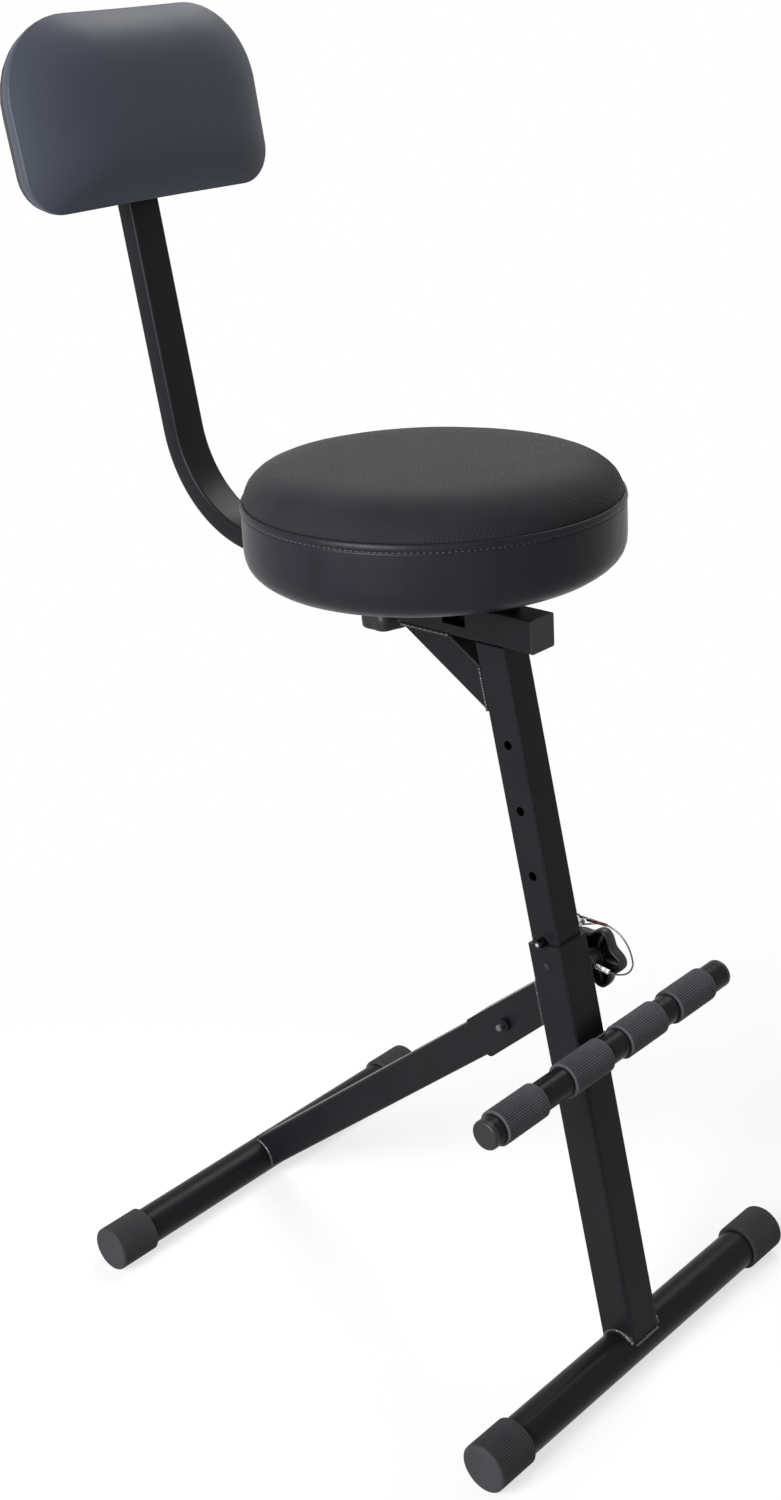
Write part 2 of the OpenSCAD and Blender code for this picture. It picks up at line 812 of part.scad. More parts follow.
module bar_receiver() {
    color(steel_black) chair() difference() {
        translate([-receiver_w / 2, receiver_front, beam_top]) cube([receiver_w, receiver_len, receiver_h]);
        translate([-bar_w / 2 - receiver_gap, receiver_front - over, beam_top + receiver_wall])
            cube([bar_w + 2 * receiver_gap, receiver_len + 2 * over, bar_t + 2 * receiver_gap]);
        translate([0, under_knob_back, beam_top - over])
            cylinder(d = under_stud_d + 2 * pass_play, h = receiver_wall + 2 * over);
    }
}

module receiver_nut() {
    color(steel_black) chair() translate([0, under_knob_back, beam_top - receiver_nut_t]) difference() {
        cylinder(d = receiver_nut_af / cos(30), h = receiver_nut_t, $fn = 6);
        translate([0, 0, -over]) cylinder(d = under_stud_d + 2 * stud_play, h = receiver_nut_t + 2 * over);
    }
}

module seat_plate() {
    color(steel_black) on_seat() translate([0, 0, -plate_t]) difference() {
        linear_extrude(plate_t) rounded_rect(plate_w, plate_len, tee_flange_d / 2);
        at_seat_screws() translate([0, 0, -over]) cylinder(d = screw_d + 2 * pass_play, h = plate_t + 2 * over);
    }
}

// Seat

module seat_screws() {
    color(zinc) on_seat() at_seat_screws() translate([0, 0, -plate_t])
        screw(plate_t + board_t - tee_flange_t);
}

module seat_tee_nuts() {
    color(zinc) on_seat() at_seat_screws() tee_nut(board_t);
}

board_r = seat_r - seat_low_draw - cover_t - foam_play;

module seat_board() {
    color(ply) on_seat() difference() {
        cylinder(r = board_r, h = board_t);
        at_seat_screws() tee_nut_seat(board_t);
    }
}

// Radius of the side band at a height, and height of the crown at a radius
function band_radius(h) = seat_r - (h < seat_belly
    ? seat_low_draw * pow(1 - h / seat_belly, low_draw_power)
    : seat_top_draw * pow((h - seat_belly) / (band_h - seat_belly), top_draw_power));
rim_r = seat_r - seat_top_draw;
function crown_height(r) = band_h + crown_h * (1 - pow(r / rim_r, seat_crown_power));

function band_points(inset) = [for (s = band_shares) [band_radius(s * band_h) - inset, s * band_h]];
function crown_points(inset) = [
    for (s = top_shares) [s * (rim_r - inset), crown_height(s * rim_r) - (s == 1 ? 0 : inset)]
];

module seat_foam() {
    inset = cover_t + foam_play;
    color(foam_colour) on_seat() rotate_extrude() polygon(concat(
        [[0, board_t + foam_play], [board_r + foam_play, board_t + foam_play]],
        [for (p = band_points(inset)) if (p[1] > board_t) p],
        [for (p = crown_points(inset)) if (p[1] > band_h) p]
    ));
}

module seat_side_band() {
    low_r = band_radius(0);
    color(vinyl) on_seat() rotate_extrude() polygon(concat(
        [[low_r - staple_border, -cover_t], [low_r - cover_t, -cover_t]],
        band_points(0),
        [for (i = [len(band_shares) - 1:-1:0]) band_points(cover_t)[i]],
        [[low_r - staple_border, 0]]
    ));
}

module seat_top_fabric() {
    color(woven) on_seat() rotate_extrude() polygon(concat(
        crown_points(0),
        [for (i = [len(top_shares) - 1:-1:0]) crown_points(cover_t)[i]]
    ));
}

// Lock pin

module lock_pin() {
    head_x = post_half + pin_head_gap;
    neck_x = head_x + pin_head_t;
    color(zinc) on_post() translate([0, 0, pin_up]) {
        across_from(pin_d, -post_half - pin_tip_proud, neck_x + pin_neck_len);
        across_from(pin_head_d, head_x, neck_x);
        across_from(pin_button_d, neck_x + pin_neck_len, neck_x + pin_neck_len + pin_button_t);
    }
}

// Lanyard

// An eye around a shaft along X: one loop of wire whose two ends meet a ferrule face to face.
// The ferrule runs from start to end, where the free wire begins.
module wire_eye(center, shaft_d, start, end) {
    ring_r = shaft_d / 2 + eye_play + wire_d / 2;
    u = (start - center) / norm(start - center);
    side = [0, -u[2], u[1]];
    path = concat(
        [start + wire_d / 2 * side],
        [for (a = [eye_open:eye_step:360 - eye_open]) center + ring_r * (cos(a) * u + sin(a) * side)],
        [start - wire_d / 2 * side]
    );
    last = len(path) - 1;
    loft([for (i = [0:last])
        wire_ring_at(path[i], i == 0 ? -u : i == last ? u : path[i + 1] - path[i - 1])]);
    v = end - start;
    translate(start) rotate([-atan2(v[1], v[2]), 0, 0]) cylinder(d = ferrule_d, h = norm(v));
}

// A ring of wire around a point of a route that lies in one plane across X
function wire_ring_at(p, v) =
    let (u = v / norm(v), side = [0, -u[2], u[1]])
    [for (k = [0:wire_sides - 1]) let (a = 360 * k / wire_sides)
        p + wire_d / 2 * (cos(a) * side + sin(a) * [1, 0, 0])];

module lanyard_pin_eye() {
    color(zinc) on_post() wire_eye([wire_x, 0, pin_up], pin_d, pin_ferrule_start, wire_route[0]);
}

module lanyard_stud_eye() {
    color(zinc) on_post() wire_eye([wire_x, 0, clamp_up], clamp_stud_d, stud_ferrule_start,
        wire_route[len(wire_route) - 1]);
}

// Points on a smooth curve through the route, with the directions of the ferrules at its ends
function route_point(i) = i < 0 ? 2 * wire_route[0] - wire_route[1]
    : i >= len(wire_route) ? 2 * wire_route[len(wire_route) - 1] - wire_route[len(wire_route) - 2]
    : wire_route[i];
function on_curve(i, t) =
    let (a = route_point(i - 1), b = route_point(i), c = route_point(i + 1), d = route_point(i + 2))
    0.5 * (2 * b + (c - a) * t + (2 * a - 5 * b + 4 * c - d) * t * t + (3 * b - a - 3 * c + d) * t * t * t);
wire_points = concat(
    [for (i = [0:len(wire_route) - 2], k = [0:wire_steps - 1]) on_curve(i, k / wire_steps)],
    [wire_route[len(wire_route) - 1]]
);
function wire_direction(i) =
    i == 0 ? wire_route[0] - pin_ferrule_start
    : i == len(wire_points) - 1 ? stud_ferrule_start - wire_points[i]
    : wire_points[i + 1] - wire_points[i - 1];

// A closed surface over rings of equal count, each ring turning the same way
module loft(rings) {
    n = len(rings[0]);
    m = len(rings);
    polyhedron(
        points = [for (ring = rings) each ring],
        faces = concat(
            [[for (k = [0:n - 1]) k]],
            [for (i = [0:m - 2], k = [0:n - 1]) let (j = (k + 1) % n)
                each [[i * n + k, (i + 1) * n + j, i * n + j], [i * n + k, (i + 1) * n + k, (i + 1) * n + j]]],
            [[for (k = [n - 1:-1:0]) (m - 1) * n + k]]
        ),
        convexity = 4
    );
}

module lanyard_wire() {
    color(steel_black) on_post()
        loft([for (i = [0:len(wire_points) - 1]) wire_ring_at(wire_points[i], wire_direction(i))]);
}

// Height clamp

module height_knob() {
    color(rubber_black) on_post() translate([post_half + knob_standoff, 0, clamp_up]) rotate([90, 0, 90])
            star_knob(knob_r, knob_lobe, knob_lobes, 180 - knob_lobe_angle, knob_t, knob_wall,
                knob_hub_d, knob_rib, clamp_stud_d);
}

module height_knob_stud() {
    color(steel_black) on_post() translate([0, 0, clamp_up])
        across_from(clamp_stud_d, inner_half + pin_seat_gap, post_half + knob_standoff + knob_t - knob_wall);
}

// Backrest

// Points of a rounded rectangle, counted round from its right-hand side
function rounded_points(w, d, r) = [
    for (q = [0:3])
        let (cx = (q == 0 || q == 3 ? 1 : -1) * (w / 2 - r), cy = (q < 2 ? 1 : -1) * (d / 2 - r))
        for (k = [0:section_steps]) let (a = 90 * (q + k / section_steps)) [cx + r * cos(a), cy + r * sin(a)]
];

// A section of the bar, turned by an angle of its bend and moved along the bar from there
function bar_ring(section, a, along) = [
    for (p = section) [
        p[0],
        -bend_run + (bend_r + p[1]) * sin(a) + along * cos(a),
        bend_r - (bend_r + p[1]) * cos(a) + along * sin(a)
    ]
];

module bar_form(inset, extra) {
    section = rounded_points(bar_w - 2 * inset, bar_t - 2 * inset, bar_section_r - inset / 2);
    loft(concat(
        [bar_ring(section, 0, bend_run - bar_level - extra)],
        [for (k = [0:bend_steps]) bar_ring(section, k * bend_angle / bend_steps, 0)],
        [bar_ring(section, bend_angle, bar_upright - bend_run + extra)]
    ));
}

module backrest_bar() {
    color(steel_black) difference() {
        chair() translate([0, bar_corner, bar_mid_z]) difference() {
            bar_form(0, 0);
            bar_form(bar_wall, over);
        }
        at_back_screws(0) cylinder(d = screw_d + 2 * pass_play, h = 2 * bar_t, center = true);
    }
}

module bar_plug() {
    linear_extrude(bar_plug_t) rounded_rect(bar_w, bar_t, bar_section_r);
    translate([0, 0, -plug_depth]) linear_extrude(plug_depth)
        rounded_rect(bar_w - 2 * bar_wall, bar_t - 2 * bar_wall, bar_section_r);
}

module bar_plug_top() {
    color(rubber_black) on_back() translate([0, 0, bar_upright]) bar_plug();
}

module bar_plug_inner() {
    color(rubber_black) chair() translate([0, bar_corner - bar_level, bar_mid_z]) rotate([90, 0, 0]) bar_plug();
}

// Half of the pad's outline, from the middle of its lower edge round to the middle of its top
function pad_corner(c, r, a0, a1) = [
    for (k = [0:corner_steps]) let (a = a0 + (a1 - a0) * k / corner_steps) c + r * [cos(a), sin(a)]
];
pad_low_x = pad_half_w - pad_taper;
pad_half = concat(
    pad_corner([pad_low_x - pad_low_r, pad_low_r], pad_low_r, -90, -pad_side_angle),
    pad_corner([pad_half_w - pad_top_r, pad_h - pad_top_r], pad_top_r, -pad_side_angle, 90)
);
pad_outline = concat(pad_half, [for (i = [len(pad_half) - 1:-1:0]) [-pad_half[i][0], pad_half[i][1]]]);
pad_middle = [0, pad_h / 2];
foam_start = back_board_t + foam_play;
pad_depths = [0, back_board_t / 2, foam_start, (foam_start + pad_belly) / 2, pad_belly];

// One ring of the pad: a share of the outline, at a depth in front of the bar
function pad_ring(share, depth, inset) = [
    for (p = pad_outline)
        let (q = pad_middle + (share - inset / pad_half_w) * (p - pad_middle))
        [q[0], -bar_t / 2 - depth, pad_low + q[1]]
];

function pad_rings(start, inset) = concat(
    [for (d = concat([start], [for (d = pad_depths) if (d > start) d]))
        pad_ring(1 - pad_draw_share * pow(1 - d / pad_belly, 2), d, inset)],
    [for (s = crown_shares)
        pad_ring(s, pad_belly + pad_crown * (1 - pow(s, crown_power)) - inset, inset)]
);

module pad_form(start, inset) {
    on_back() loft(pad_rings(start, inset));
}

module back_board() {
    edge = 1 - pad_draw_share - (cover_t + foam_play) / pad_half_w;
    color(ply) difference() {
        on_back() translate([0, -bar_t / 2, pad_low + pad_h / 2]) rotate([90, 0, 0])
            linear_extrude(back_board_t) polygon([for (p = pad_outline) edge * (p - pad_middle)]);
        at_back_screws(-bar_t / 2) tee_nut_seat(back_board_t);
    }
}

module back_foam() {
    color(foam_colour) pad_form(foam_start, cover_t + foam_play);
}

module back_cover() {
    color(vinyl) difference() {
        pad_form(0, 0);
        pad_form(-over, cover_t);
    }
}

module back_screws() {
    color(zinc) at_back_screws(bar_t / 2) screw(bar_t + back_board_t - tee_flange_t);
}

module back_tee_nuts() {
    color(zinc) at_back_screws(-bar_t / 2) tee_nut(back_board_t);
}

// Backrest clamp

module backrest_knob() {
    color(rubber_black) chair() translate([0, under_knob_back, under_knob_top - under_knob_t])
        mirror([0, 0, 1]) translate([0, 0, -under_knob_t])
            star_knob(under_knob_r, under_knob_lobe, knob_lobes, 0, under_knob_t, knob_wall,
                under_hub_d, knob_rib, under_stud_d);
}

module backrest_knob_stud() {
    stud_low = under_knob_top - under_knob_t + knob_wall;
    stud_high = beam_top + receiver_wall + receiver_gap - pin_seat_gap;
    color(steel_black) chair() translate([0, under_knob_back, stud_low])
        cylinder(d = under_stud_d, h = stud_high - stud_low);
}

front_foot_tube();
front_foot_cap(-1);  // front_foot_cap_left
front_foot_cap(1);  // front_foot_cap_right
outer_post();
guide_bushing();
clamp_weld_nut();
footrest_bar();
footrest_sleeve(rest_left + sleeve_inset_left);  // footrest_sleeve_1
footrest_sleeve(-sleeve_near_start - sleeve_len);  // footrest_sleeve_2
footrest_sleeve(post_half + sleeve_post_gap);  // footrest_sleeve_3
footrest_sleeve(rest_right - sleeve_inset_right - sleeve_len);  // footrest_sleeve_4
footrest_plug(-1);  // footrest_plug_left
footrest_plug(1);  // footrest_plug_right
hinge_bracket();
pivot_bolt();
pivot_lock_nut();
pivot_washers();
lanyard_stud_eye();
lanyard_wire();
rear_leg();
rear_foot_tube();
rear_foot_cap(-1);  // rear_foot_cap_left
rear_foot_cap(1);  // rear_foot_cap_right
inner_post();
inner_post_plug();
seat_beam();
beam_plug();
seat_strut();
bar_receiver();
receiver_nut();
seat_plate();
seat_screws();
seat_tee_nuts();
seat_board();
seat_foam();
seat_side_band();
seat_top_fabric();
lock_pin();
lanyard_pin_eye();
height_knob();
height_knob_stud();
backrest_bar();
bar_plug_top();
bar_plug_inner();
back_board();
back_foam();
back_cover();
back_screws();
back_tee_nuts();
backrest_knob();
backrest_knob_stud();
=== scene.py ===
# Looks of a folding gig chair: its cushions, rubber and plastic pieces, lanyard, weld beads and the
# finishes of its steelwork, with a plain studio around it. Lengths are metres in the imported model's
# frame: X across the chair, the sitter faces -Y, +Z is up and z = 0 is the floor.

import json
import math

import bpy
from bpy.props import FloatProperty, FloatVectorProperty, IntProperty, PointerProperty
from mathutils import Matrix, Vector, noise
from mathutils.bvhtree import BVHTree


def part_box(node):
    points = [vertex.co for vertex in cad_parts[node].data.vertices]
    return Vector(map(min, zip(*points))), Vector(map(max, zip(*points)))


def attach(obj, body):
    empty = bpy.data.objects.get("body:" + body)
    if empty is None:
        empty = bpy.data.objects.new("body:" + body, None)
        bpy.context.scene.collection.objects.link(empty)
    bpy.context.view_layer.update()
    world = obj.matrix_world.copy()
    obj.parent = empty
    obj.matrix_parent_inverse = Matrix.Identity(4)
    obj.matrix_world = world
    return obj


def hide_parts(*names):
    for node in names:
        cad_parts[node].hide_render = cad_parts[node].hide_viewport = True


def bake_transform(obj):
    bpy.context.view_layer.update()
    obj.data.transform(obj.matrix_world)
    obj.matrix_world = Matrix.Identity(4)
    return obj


bl_info = {
    "name": "Folding Gig Chair",
    "version": (1, 0, 0),
    "blender": (4, 5, 0),
    "location": "3D View > Sidebar > Gig Chair",
    "description": "Builds the cushions, trim, lanyard, welds and finishes of a folding gig chair",
    "category": "Object",
}

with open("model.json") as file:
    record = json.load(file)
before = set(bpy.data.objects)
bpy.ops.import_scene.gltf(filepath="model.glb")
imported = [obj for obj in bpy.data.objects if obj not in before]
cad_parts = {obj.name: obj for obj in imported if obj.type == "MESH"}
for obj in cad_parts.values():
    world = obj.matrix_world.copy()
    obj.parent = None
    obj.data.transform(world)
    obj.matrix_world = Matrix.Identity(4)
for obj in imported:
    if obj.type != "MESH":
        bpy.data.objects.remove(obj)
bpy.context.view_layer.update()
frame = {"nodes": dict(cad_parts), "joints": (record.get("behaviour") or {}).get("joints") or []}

MM = 0.001
ACROSS = Vector((1, 0, 0))
WHITE = (1, 1, 1, 1)
HANDS = (("left", -1), ("right", 1))
joints = {joint["name"]: joint for joint in frame["joints"]}


# Places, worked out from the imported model


def middle(node):
    low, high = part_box(node)
    return (low + high) / 2


def round_radius(node):
    """Radius of a round node that lies across the chair."""
    low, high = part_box(node)
    return (high.z - low.z) / 2


def on_axes(origin, y_axis):
    """A frame with X across the chair, the given Y axis, and Z square to both."""
    z_axis = ACROSS.cross(y_axis)
    turn = Matrix((ACROSS, y_axis, z_axis)).transposed()
    return Matrix.Translation(origin) @ turn.to_4x4()


# How far the post's axis lies behind the front foot's, and how far the backrest leans back
POST_SETBACK = 1.5 * MM
BACK_LEAN = math.radians(9.3)
post_up = Vector(joints["height_slide"]["axis"])
post_back = Vector((0, post_up.z, -post_up.y))
post_place = on_axes(middle("front_foot_tube") + POST_SETBACK * post_back, post_back)
pivot = Vector(joints["rear_leg_fold"]["pos_m"])
rear_foot = middle("rear_foot_tube")
leg_place = on_axes(pivot, (rear_foot - pivot).normalized())
leg_length = (rear_foot - pivot).length
clamp_up = (post_place.inverted() @ Vector(joints["height_knob_turn"]["pos_m"])).z
rest_centre = middle("footrest_bar")
seat_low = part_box("seat_plate")[1].z
seat_place = Matrix.Translation(Vector((0, middle("seat_board").y, seat_low)))
# The bar's depth, its level run up to the corner of its bend, and how far its inner plug stands out
BAR_DEPTH = 20 * MM
BAR_LEVEL = 335 * MM
BAR_PLUG = 3 * MM
bar_corner = Vector((0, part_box("bar_plug_inner")[0].y + BAR_PLUG + BAR_LEVEL, middle("bar_plug_inner").z))
lean_back = Vector((0, math.cos(BACK_LEAN), -math.sin(BACK_LEAN)))
back_place = on_axes(bar_corner, lean_back)


# Sizes and colours that a user would change


def linear(hex_colour):
    """An sRGB hex colour as linear red, green, blue and alpha."""
    channels = [int(hex_colour[i : i + 2], 16) / 255 for i in (1, 3, 5)]
    return [c / 12.92 if c <= 0.04045 else ((c + 0.055) / 1.055) ** 2.4 for c in channels] + [1.0]


def length(name, description, millimetres):
    return FloatProperty(
        name=name, description=description, default=millimetres * MM, min=0, subtype="DISTANCE", unit="LENGTH"
    )


def colour(name, description, hex_colour):
    return FloatVectorProperty(
        name=name, description=description, default=linear(hex_colour), size=4, min=0, max=1, subtype="COLOR"
    )


class GigChairSizes(bpy.types.PropertyGroup):
    """Sizes of the chair's trim and cushions"""

    cap_ribs: IntProperty(name="Cap ribs", description="Ribs around a foot cap", default=58, min=12)
    sleeve_ribs: IntProperty(name="Sleeve ribs", description="Ribs around a sleeve", default=46, min=12)
    rib_depth: length("Rib depth", "Depth of the grooves between ribs", 1.2)
    seam_height: length("Seam height", "Height of the seat's stitched seam over its underside", 54)
    seam_depth: length("Seam depth", "How deep a seam sinks into the seat", 1.5)
    stitch: length("Stitch", "Length of one stitch with its gap", 5)
    thread: length("Thread", "Diameter of the sewing thread", 0.7)
    swelling: length("Swelling", "How far the simulated foam may move its cover", 4)
    wire: length("Lanyard wire", "Diameter of the lanyard's coated wire", 1.6)
    bead: length("Weld bead", "Radius of a weld bead", 1.9)


class GigChairColours(bpy.types.PropertyGroup):
    """Colours of the chair's finishes"""

    powder: colour("Powder coat", "Satin black powder coat on the steelwork", "#121315")
    rubber: colour("Cap rubber", "Moulded rubber of the foot caps", "#242427")
    # The sleeves' paler colour is painted light, standing in for the light on their rib crests
    sleeve: colour("Sleeve rubber", "Softer, dustier rubber of the footrest sleeves", "#36363a")
    plastic: colour("Plastic", "Moulded plastic of the knobs and plugs", "#17181a")
    zinc: colour("Zinc", "Zinc plating of the lock pin and screws", "#c9cbcf")
    copper: colour("Copper", "Crimped copper sleeve on the lanyard", "#5f3b2c")
    vinyl: colour("Seat vinyl", "Grained vinyl of the seat's side band", "#16171c")
    pad: colour("Pad vinyl", "Smooth vinyl of the back pad", "#31353f")
    cloth: colour("Cloth", "Woven cloth of the seat's top", "#1e1d21")
    stage: colour("Stage", "Floor and surroundings", "#d9d9d9")


def sizes():
    return bpy.context.scene.gig_chair_sizes


def colours():
    return bpy.context.scene.gig_chair_colours


# Meshes


def piece(name, points, faces, material, body=None, replaced=(), slot=None):
    """A mesh object in the chair's frame, riding on its body."""
    mesh = bpy.data.meshes.new(name)
    mesh.from_pydata([tuple(p) for p in points], [], faces)
    mesh.validate()
    mesh.polygons.foreach_set("use_smooth", [True] * len(mesh.polygons))
    mesh.materials.append(material)
    made = bpy.data.objects.new(name, mesh)
    bpy.context.scene.collection.objects.link(made)
    if body:
        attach(made, body)
    if replaced:
        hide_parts(*replaced)
    return made


def skin(rings, start_cap=True, end_cap=True):
    """Points and faces of a surface through rings with equal counts of points."""
    count = len(rings[0])
    points = [p for ring in rings for p in ring]
    faces = []
    for a in range(0, len(points) - count, count):
        b = a + count
        faces += [(a + k, a + (k + 1) % count, b + (k + 1) % count, b + k) for k in range(count)]
    if start_cap:
        faces.append(tuple(range(count - 1, -1, -1)))
    if end_cap:
        faces.append(tuple(range(len(points) - count, len(points))))
    return points, faces


def joined(*parts):
    """Several lists of points and faces as one."""
    points, faces = [], []
    for more_points, more_faces in parts:
        faces += [tuple(i + len(points) for i in face) for face in more_faces]
        points += more_points
    return points, faces


def swept(path, radii, sides):
    """A tube along a path, with one radius or a radius at each of its points."""
    if not hasattr(radii, "__len__"):
        radii = [radii] * len(path)
    turns = [2 * math.pi * k / sides for k in range(sides)]
    last = len(path) - 1
    normal = None
    rings = []
    for i, p in enumerate(path):
        along = (path[min(i + 1, last)] - path[max(i - 1, 0)]).normalized()
        if normal is None:
            normal = along.orthogonal()
        normal = (normal - normal.dot(along) * along).normalized()
        side = along.cross(normal)
        rings.append([p + radii[i] * (math.cos(a) * normal + math.sin(a) * side) for a in turns])
    return skin(rings)


def smooth_route(points, steps):
    """Points on a smooth curve through a route, ending on its last point."""
    padded = [2 * points[0] - points[1], *points, 2 * points[-1] - points[-2]]
    curve = []
    for a, b, c, d in zip(padded, padded[1:], padded[2:], padded[3:]):
        slope, bend, twist = c - a, 2 * a - 5 * b + 4 * c - d, 3 * b - a - 3 * c + d
        for k in range(steps):
            t = k / steps
            curve.append(0.5 * (2 * b + slope * t + bend * t**2 + twist * t**3))
    return [*curve, points[-1].copy()]


# Materials


def add_node(tree, kind, inputs=None, **settings):
    """Adds a shader node, sets its properties, and sets or links its inputs."""
    made = tree.nodes.new(kind)
    for key, value in settings.items():
        setattr(made, key, value)
    for key, value in (inputs or {}).items():
        if isinstance(value, bpy.types.NodeSocket):
            tree.links.new(value, made.inputs[key])
        else:
            made.inputs[key].default_value = value
    return made


def start_material(name, base, roughness, metallic=0.0, **sockets):
    """A new material with its shader and the coordinates in which its patterns lie."""
    made = bpy.data.materials.new(name)
    made.use_nodes = True
    tree = made.node_tree
    tree.nodes.clear()
    inputs = {"Base Color": base, "Roughness": roughness, "Metallic": metallic}
    inputs.update({key.replace("_", " "): value for key, value in sockets.items()})
    shader = add_node(tree, "ShaderNodeBsdfPrincipled", inputs)
    add_node(tree, "ShaderNodeOutputMaterial", {"Surface": shader.outputs[0]})
    place = add_node(tree, "ShaderNodeTexCoord").outputs["Object"]
    return made, tree, shader, place


def patterned(tree, shader, relief, depth, shift=None, base=None, tones=None, gloss=None):
    """Raises a surface by one pattern, and shifts its colour and roughness by another.

    The tones are the colour's darkest and lightest share, gloss is the range of the roughness.
    """
    bump = add_node(tree, "ShaderNodeBump", {"Height": relief, "Distance": depth}).outputs[0]
    tree.links.new(bump, shader.inputs["Normal"])
    if tones:
        dark, light = ([min(1.0, c * share) for c in base[:3]] + [1.0] for share in tones)
        shades = {"Factor": shift, 6: dark, 7: light}
        shade = add_node(tree, "ShaderNodeMix", shades, data_type="RGBA").outputs[2]
        tree.links.new(shade, shader.inputs["Base Color"])
    if gloss:
        reach = {"Value": shift, "To Min": gloss[0], "To Max": gloss[1]}
        level = add_node(tree, "ShaderNodeMapRange", reach).outputs[0]
        tree.links.new(level, shader.inputs["Roughness"])


def grained(name, base, tones, gloss, grain, cloud, depth, warp=0.0, **sockets):
    """A surface with a fine raised grain, and a wide cloud that shifts its colour and gloss a little.

    Grain and cloud are each a size and a noise detail.
    """
    made, tree, shader, place = start_material(name, base, sum(gloss) / 2, **sockets)
    pattern = {"Vector": place, "Scale": 1 / grain[0], "Detail": grain[1]}
    fine = add_node(tree, "ShaderNodeTexNoise", pattern).outputs[0]
    pattern = {"Vector": place, "Scale": 1 / cloud[0], "Detail": cloud[1], "Distortion": warp}
    wide = add_node(tree, "ShaderNodeTexNoise", pattern).outputs[0]
    patterned(tree, shader, fine, depth, shift=wide, base=base, tones=tones, gloss=gloss)
    return made


def powder_coat():
    """Satin polyester powder, sprayed and baked: a faint orange peel that softens every reflection."""
    peel, cloud = (1.6 * MM, 2), (45 * MM, 3)
    tones, gloss = (0.8, 1.25), (0.28, 0.4)
    depth = 0.05 * MM
    base = colours().powder
    return grained("powder_coated_steel", base, tones, gloss, peel, cloud, depth, Specular_IOR_Level=0.07)


def weld_coat():
    """The same powder over weld metal: it pools glossy on the ripples."""
    grain_size = 1.2 * MM
    made, tree, shader, place = start_material("powder_coated_weld", linear("#1b1c1e"), 0.25, IOR=1.5)
    pattern = {"Vector": place, "Scale": 1 / grain_size, "Detail": 3.0}
    grain = add_node(tree, "ShaderNodeTexNoise", pattern).outputs[0]
    patterned(tree, shader, grain, depth=0.15 * MM, shift=grain, gloss=(0.14, 0.34))
    return made


def moulded_rubber():
    """Compression-moulded rubber: dull, with a fine dusty grain."""
    return rubber("moulded_rubber", colours().rubber)


def sleeve_rubber():
    """Extruded soft rubber, paler than the caps: painted light standing in for the light on its rib crests.
    """
    return rubber("extruded_rubber", colours().sleeve)


def rubber(name, base):
    """Rubber from a matt mould: a close grain, and dust in patches a finger wide."""
    grain, dust = (0.9 * MM, 4), (12 * MM, 5)
    tones, gloss = (0.75, 1.35), (0.58, 0.78)
    depth = 0.06 * MM
    return grained(name, base, tones, gloss, grain, dust, depth, IOR=1.52, Specular_IOR_Level=0.2)


def moulded_plastic():
    """Injection-moulded nylon with a spark-eroded grain: half dull, with soft broad highlights."""
    base = colours().plastic
    grain, flow = (0.7 * MM, 2), (20 * MM, 2)
    tones, gloss = (0.85, 1.2), (0.34, 0.48)
    depth, warp = 0.04 * MM, 1.0
    sockets = {"IOR": 1.53, "Specular_IOR_Level": 0.2}
    return grained("moulded_nylon", base, tones, gloss, grain, flow, depth, warp, **sockets)


def metal(name, base, roughness, turning):
    """Machined metal: fine turning marks around X that stretch the highlights, and a little tarnish."""
    stain_size = 4 * MM
    along_marks = 20
    made, tree, shader, place = start_material(name, base, roughness, metallic=1.0)
    scale = (1 / turning, along_marks, along_marks)
    marks = add_node(tree, "ShaderNodeMapping", {"Vector": place, "Scale": scale}).outputs[0]
    lines = add_node(tree, "ShaderNodeTexNoise", {"Vector": marks, "Scale": 1.0, "Detail": 2.0}).outputs[0]
    pattern = {"Vector": place, "Scale": 1 / stain_size, "Detail": 4.0}
    stain = add_node(tree, "ShaderNodeTexNoise", pattern).outputs[0]
    gloss = (0.7 * roughness, 1.4 * roughness)
    patterned(tree, shader, lines, depth=0.02 * MM, shift=stain, base=base, tones=(0.7, 1.1), gloss=gloss)
    return made


def zinc_plated():
    """Bright zinc electroplated on turned steel: silver, slightly milky."""
    return metal("zinc_plated_steel", colours().zinc, 0.3, 0.35 * MM)


def pin_steel():
    """Turned steel pin, plated, with painted shade darkening its shaft where it leaves the post; the centre
    of its tip keeps the bright plating.
    """
    shaft_end = -17 * MM
    unshaded_tip_radius = 1.7 * MM
    made = metal("lock_pin_steel", colours().zinc, 0.3, 0.35 * MM)
    tree = made.node_tree
    shader = next(node for node in tree.nodes if node.type == "BSDF_PRINCIPLED")
    place = add_node(tree, "ShaderNodeTexCoord").outputs["Object"]
    axis = middle("lock_pin")
    axis.x = 0
    apart = add_node(tree, "ShaderNodeVectorMath", {0: place, 1: axis}, operation="SUBTRACT").outputs[0]
    around = add_node(tree, "ShaderNodeVectorMath", {0: apart, 1: (0, 1, 1)}, operation="MULTIPLY").outputs[0]
    radius = add_node(tree, "ShaderNodeVectorMath", {0: around}, operation="LENGTH").outputs["Value"]
    along = add_node(tree, "ShaderNodeSeparateXYZ", {0: apart}).outputs[0]
    left = add_node(tree, "ShaderNodeMath", {0: along, 1: shaft_end}, operation="LESS_THAN").outputs[0]
    rim = {0: radius, 1: unshaded_tip_radius}
    outer = add_node(tree, "ShaderNodeMath", rim, operation="GREATER_THAN").outputs[0]
    painted_shade = add_node(tree, "ShaderNodeMath", {0: left, 1: outer}, operation="MULTIPLY").outputs[0]
    unshaded_colour = shader.inputs["Base Color"].links[0].from_socket
    # Painted shade: #2c2d30 darkens the shaft where it leaves the post, all but the centre of its tip
    shades = {"Factor": painted_shade, 6: unshaded_colour, 7: linear("#2c2d30")}
    shaded_colour = add_node(tree, "ShaderNodeMix", shades, data_type="RGBA").outputs[2]
    tree.links.new(shaded_colour, shader.inputs["Base Color"])
    return made


def threaded_steel():
    """Zinc on rolled threads: grey, because the thread's flanks shade one another."""
    return metal("threaded_zinc", linear("#6e7074"), 0.42, 0.9 * MM)


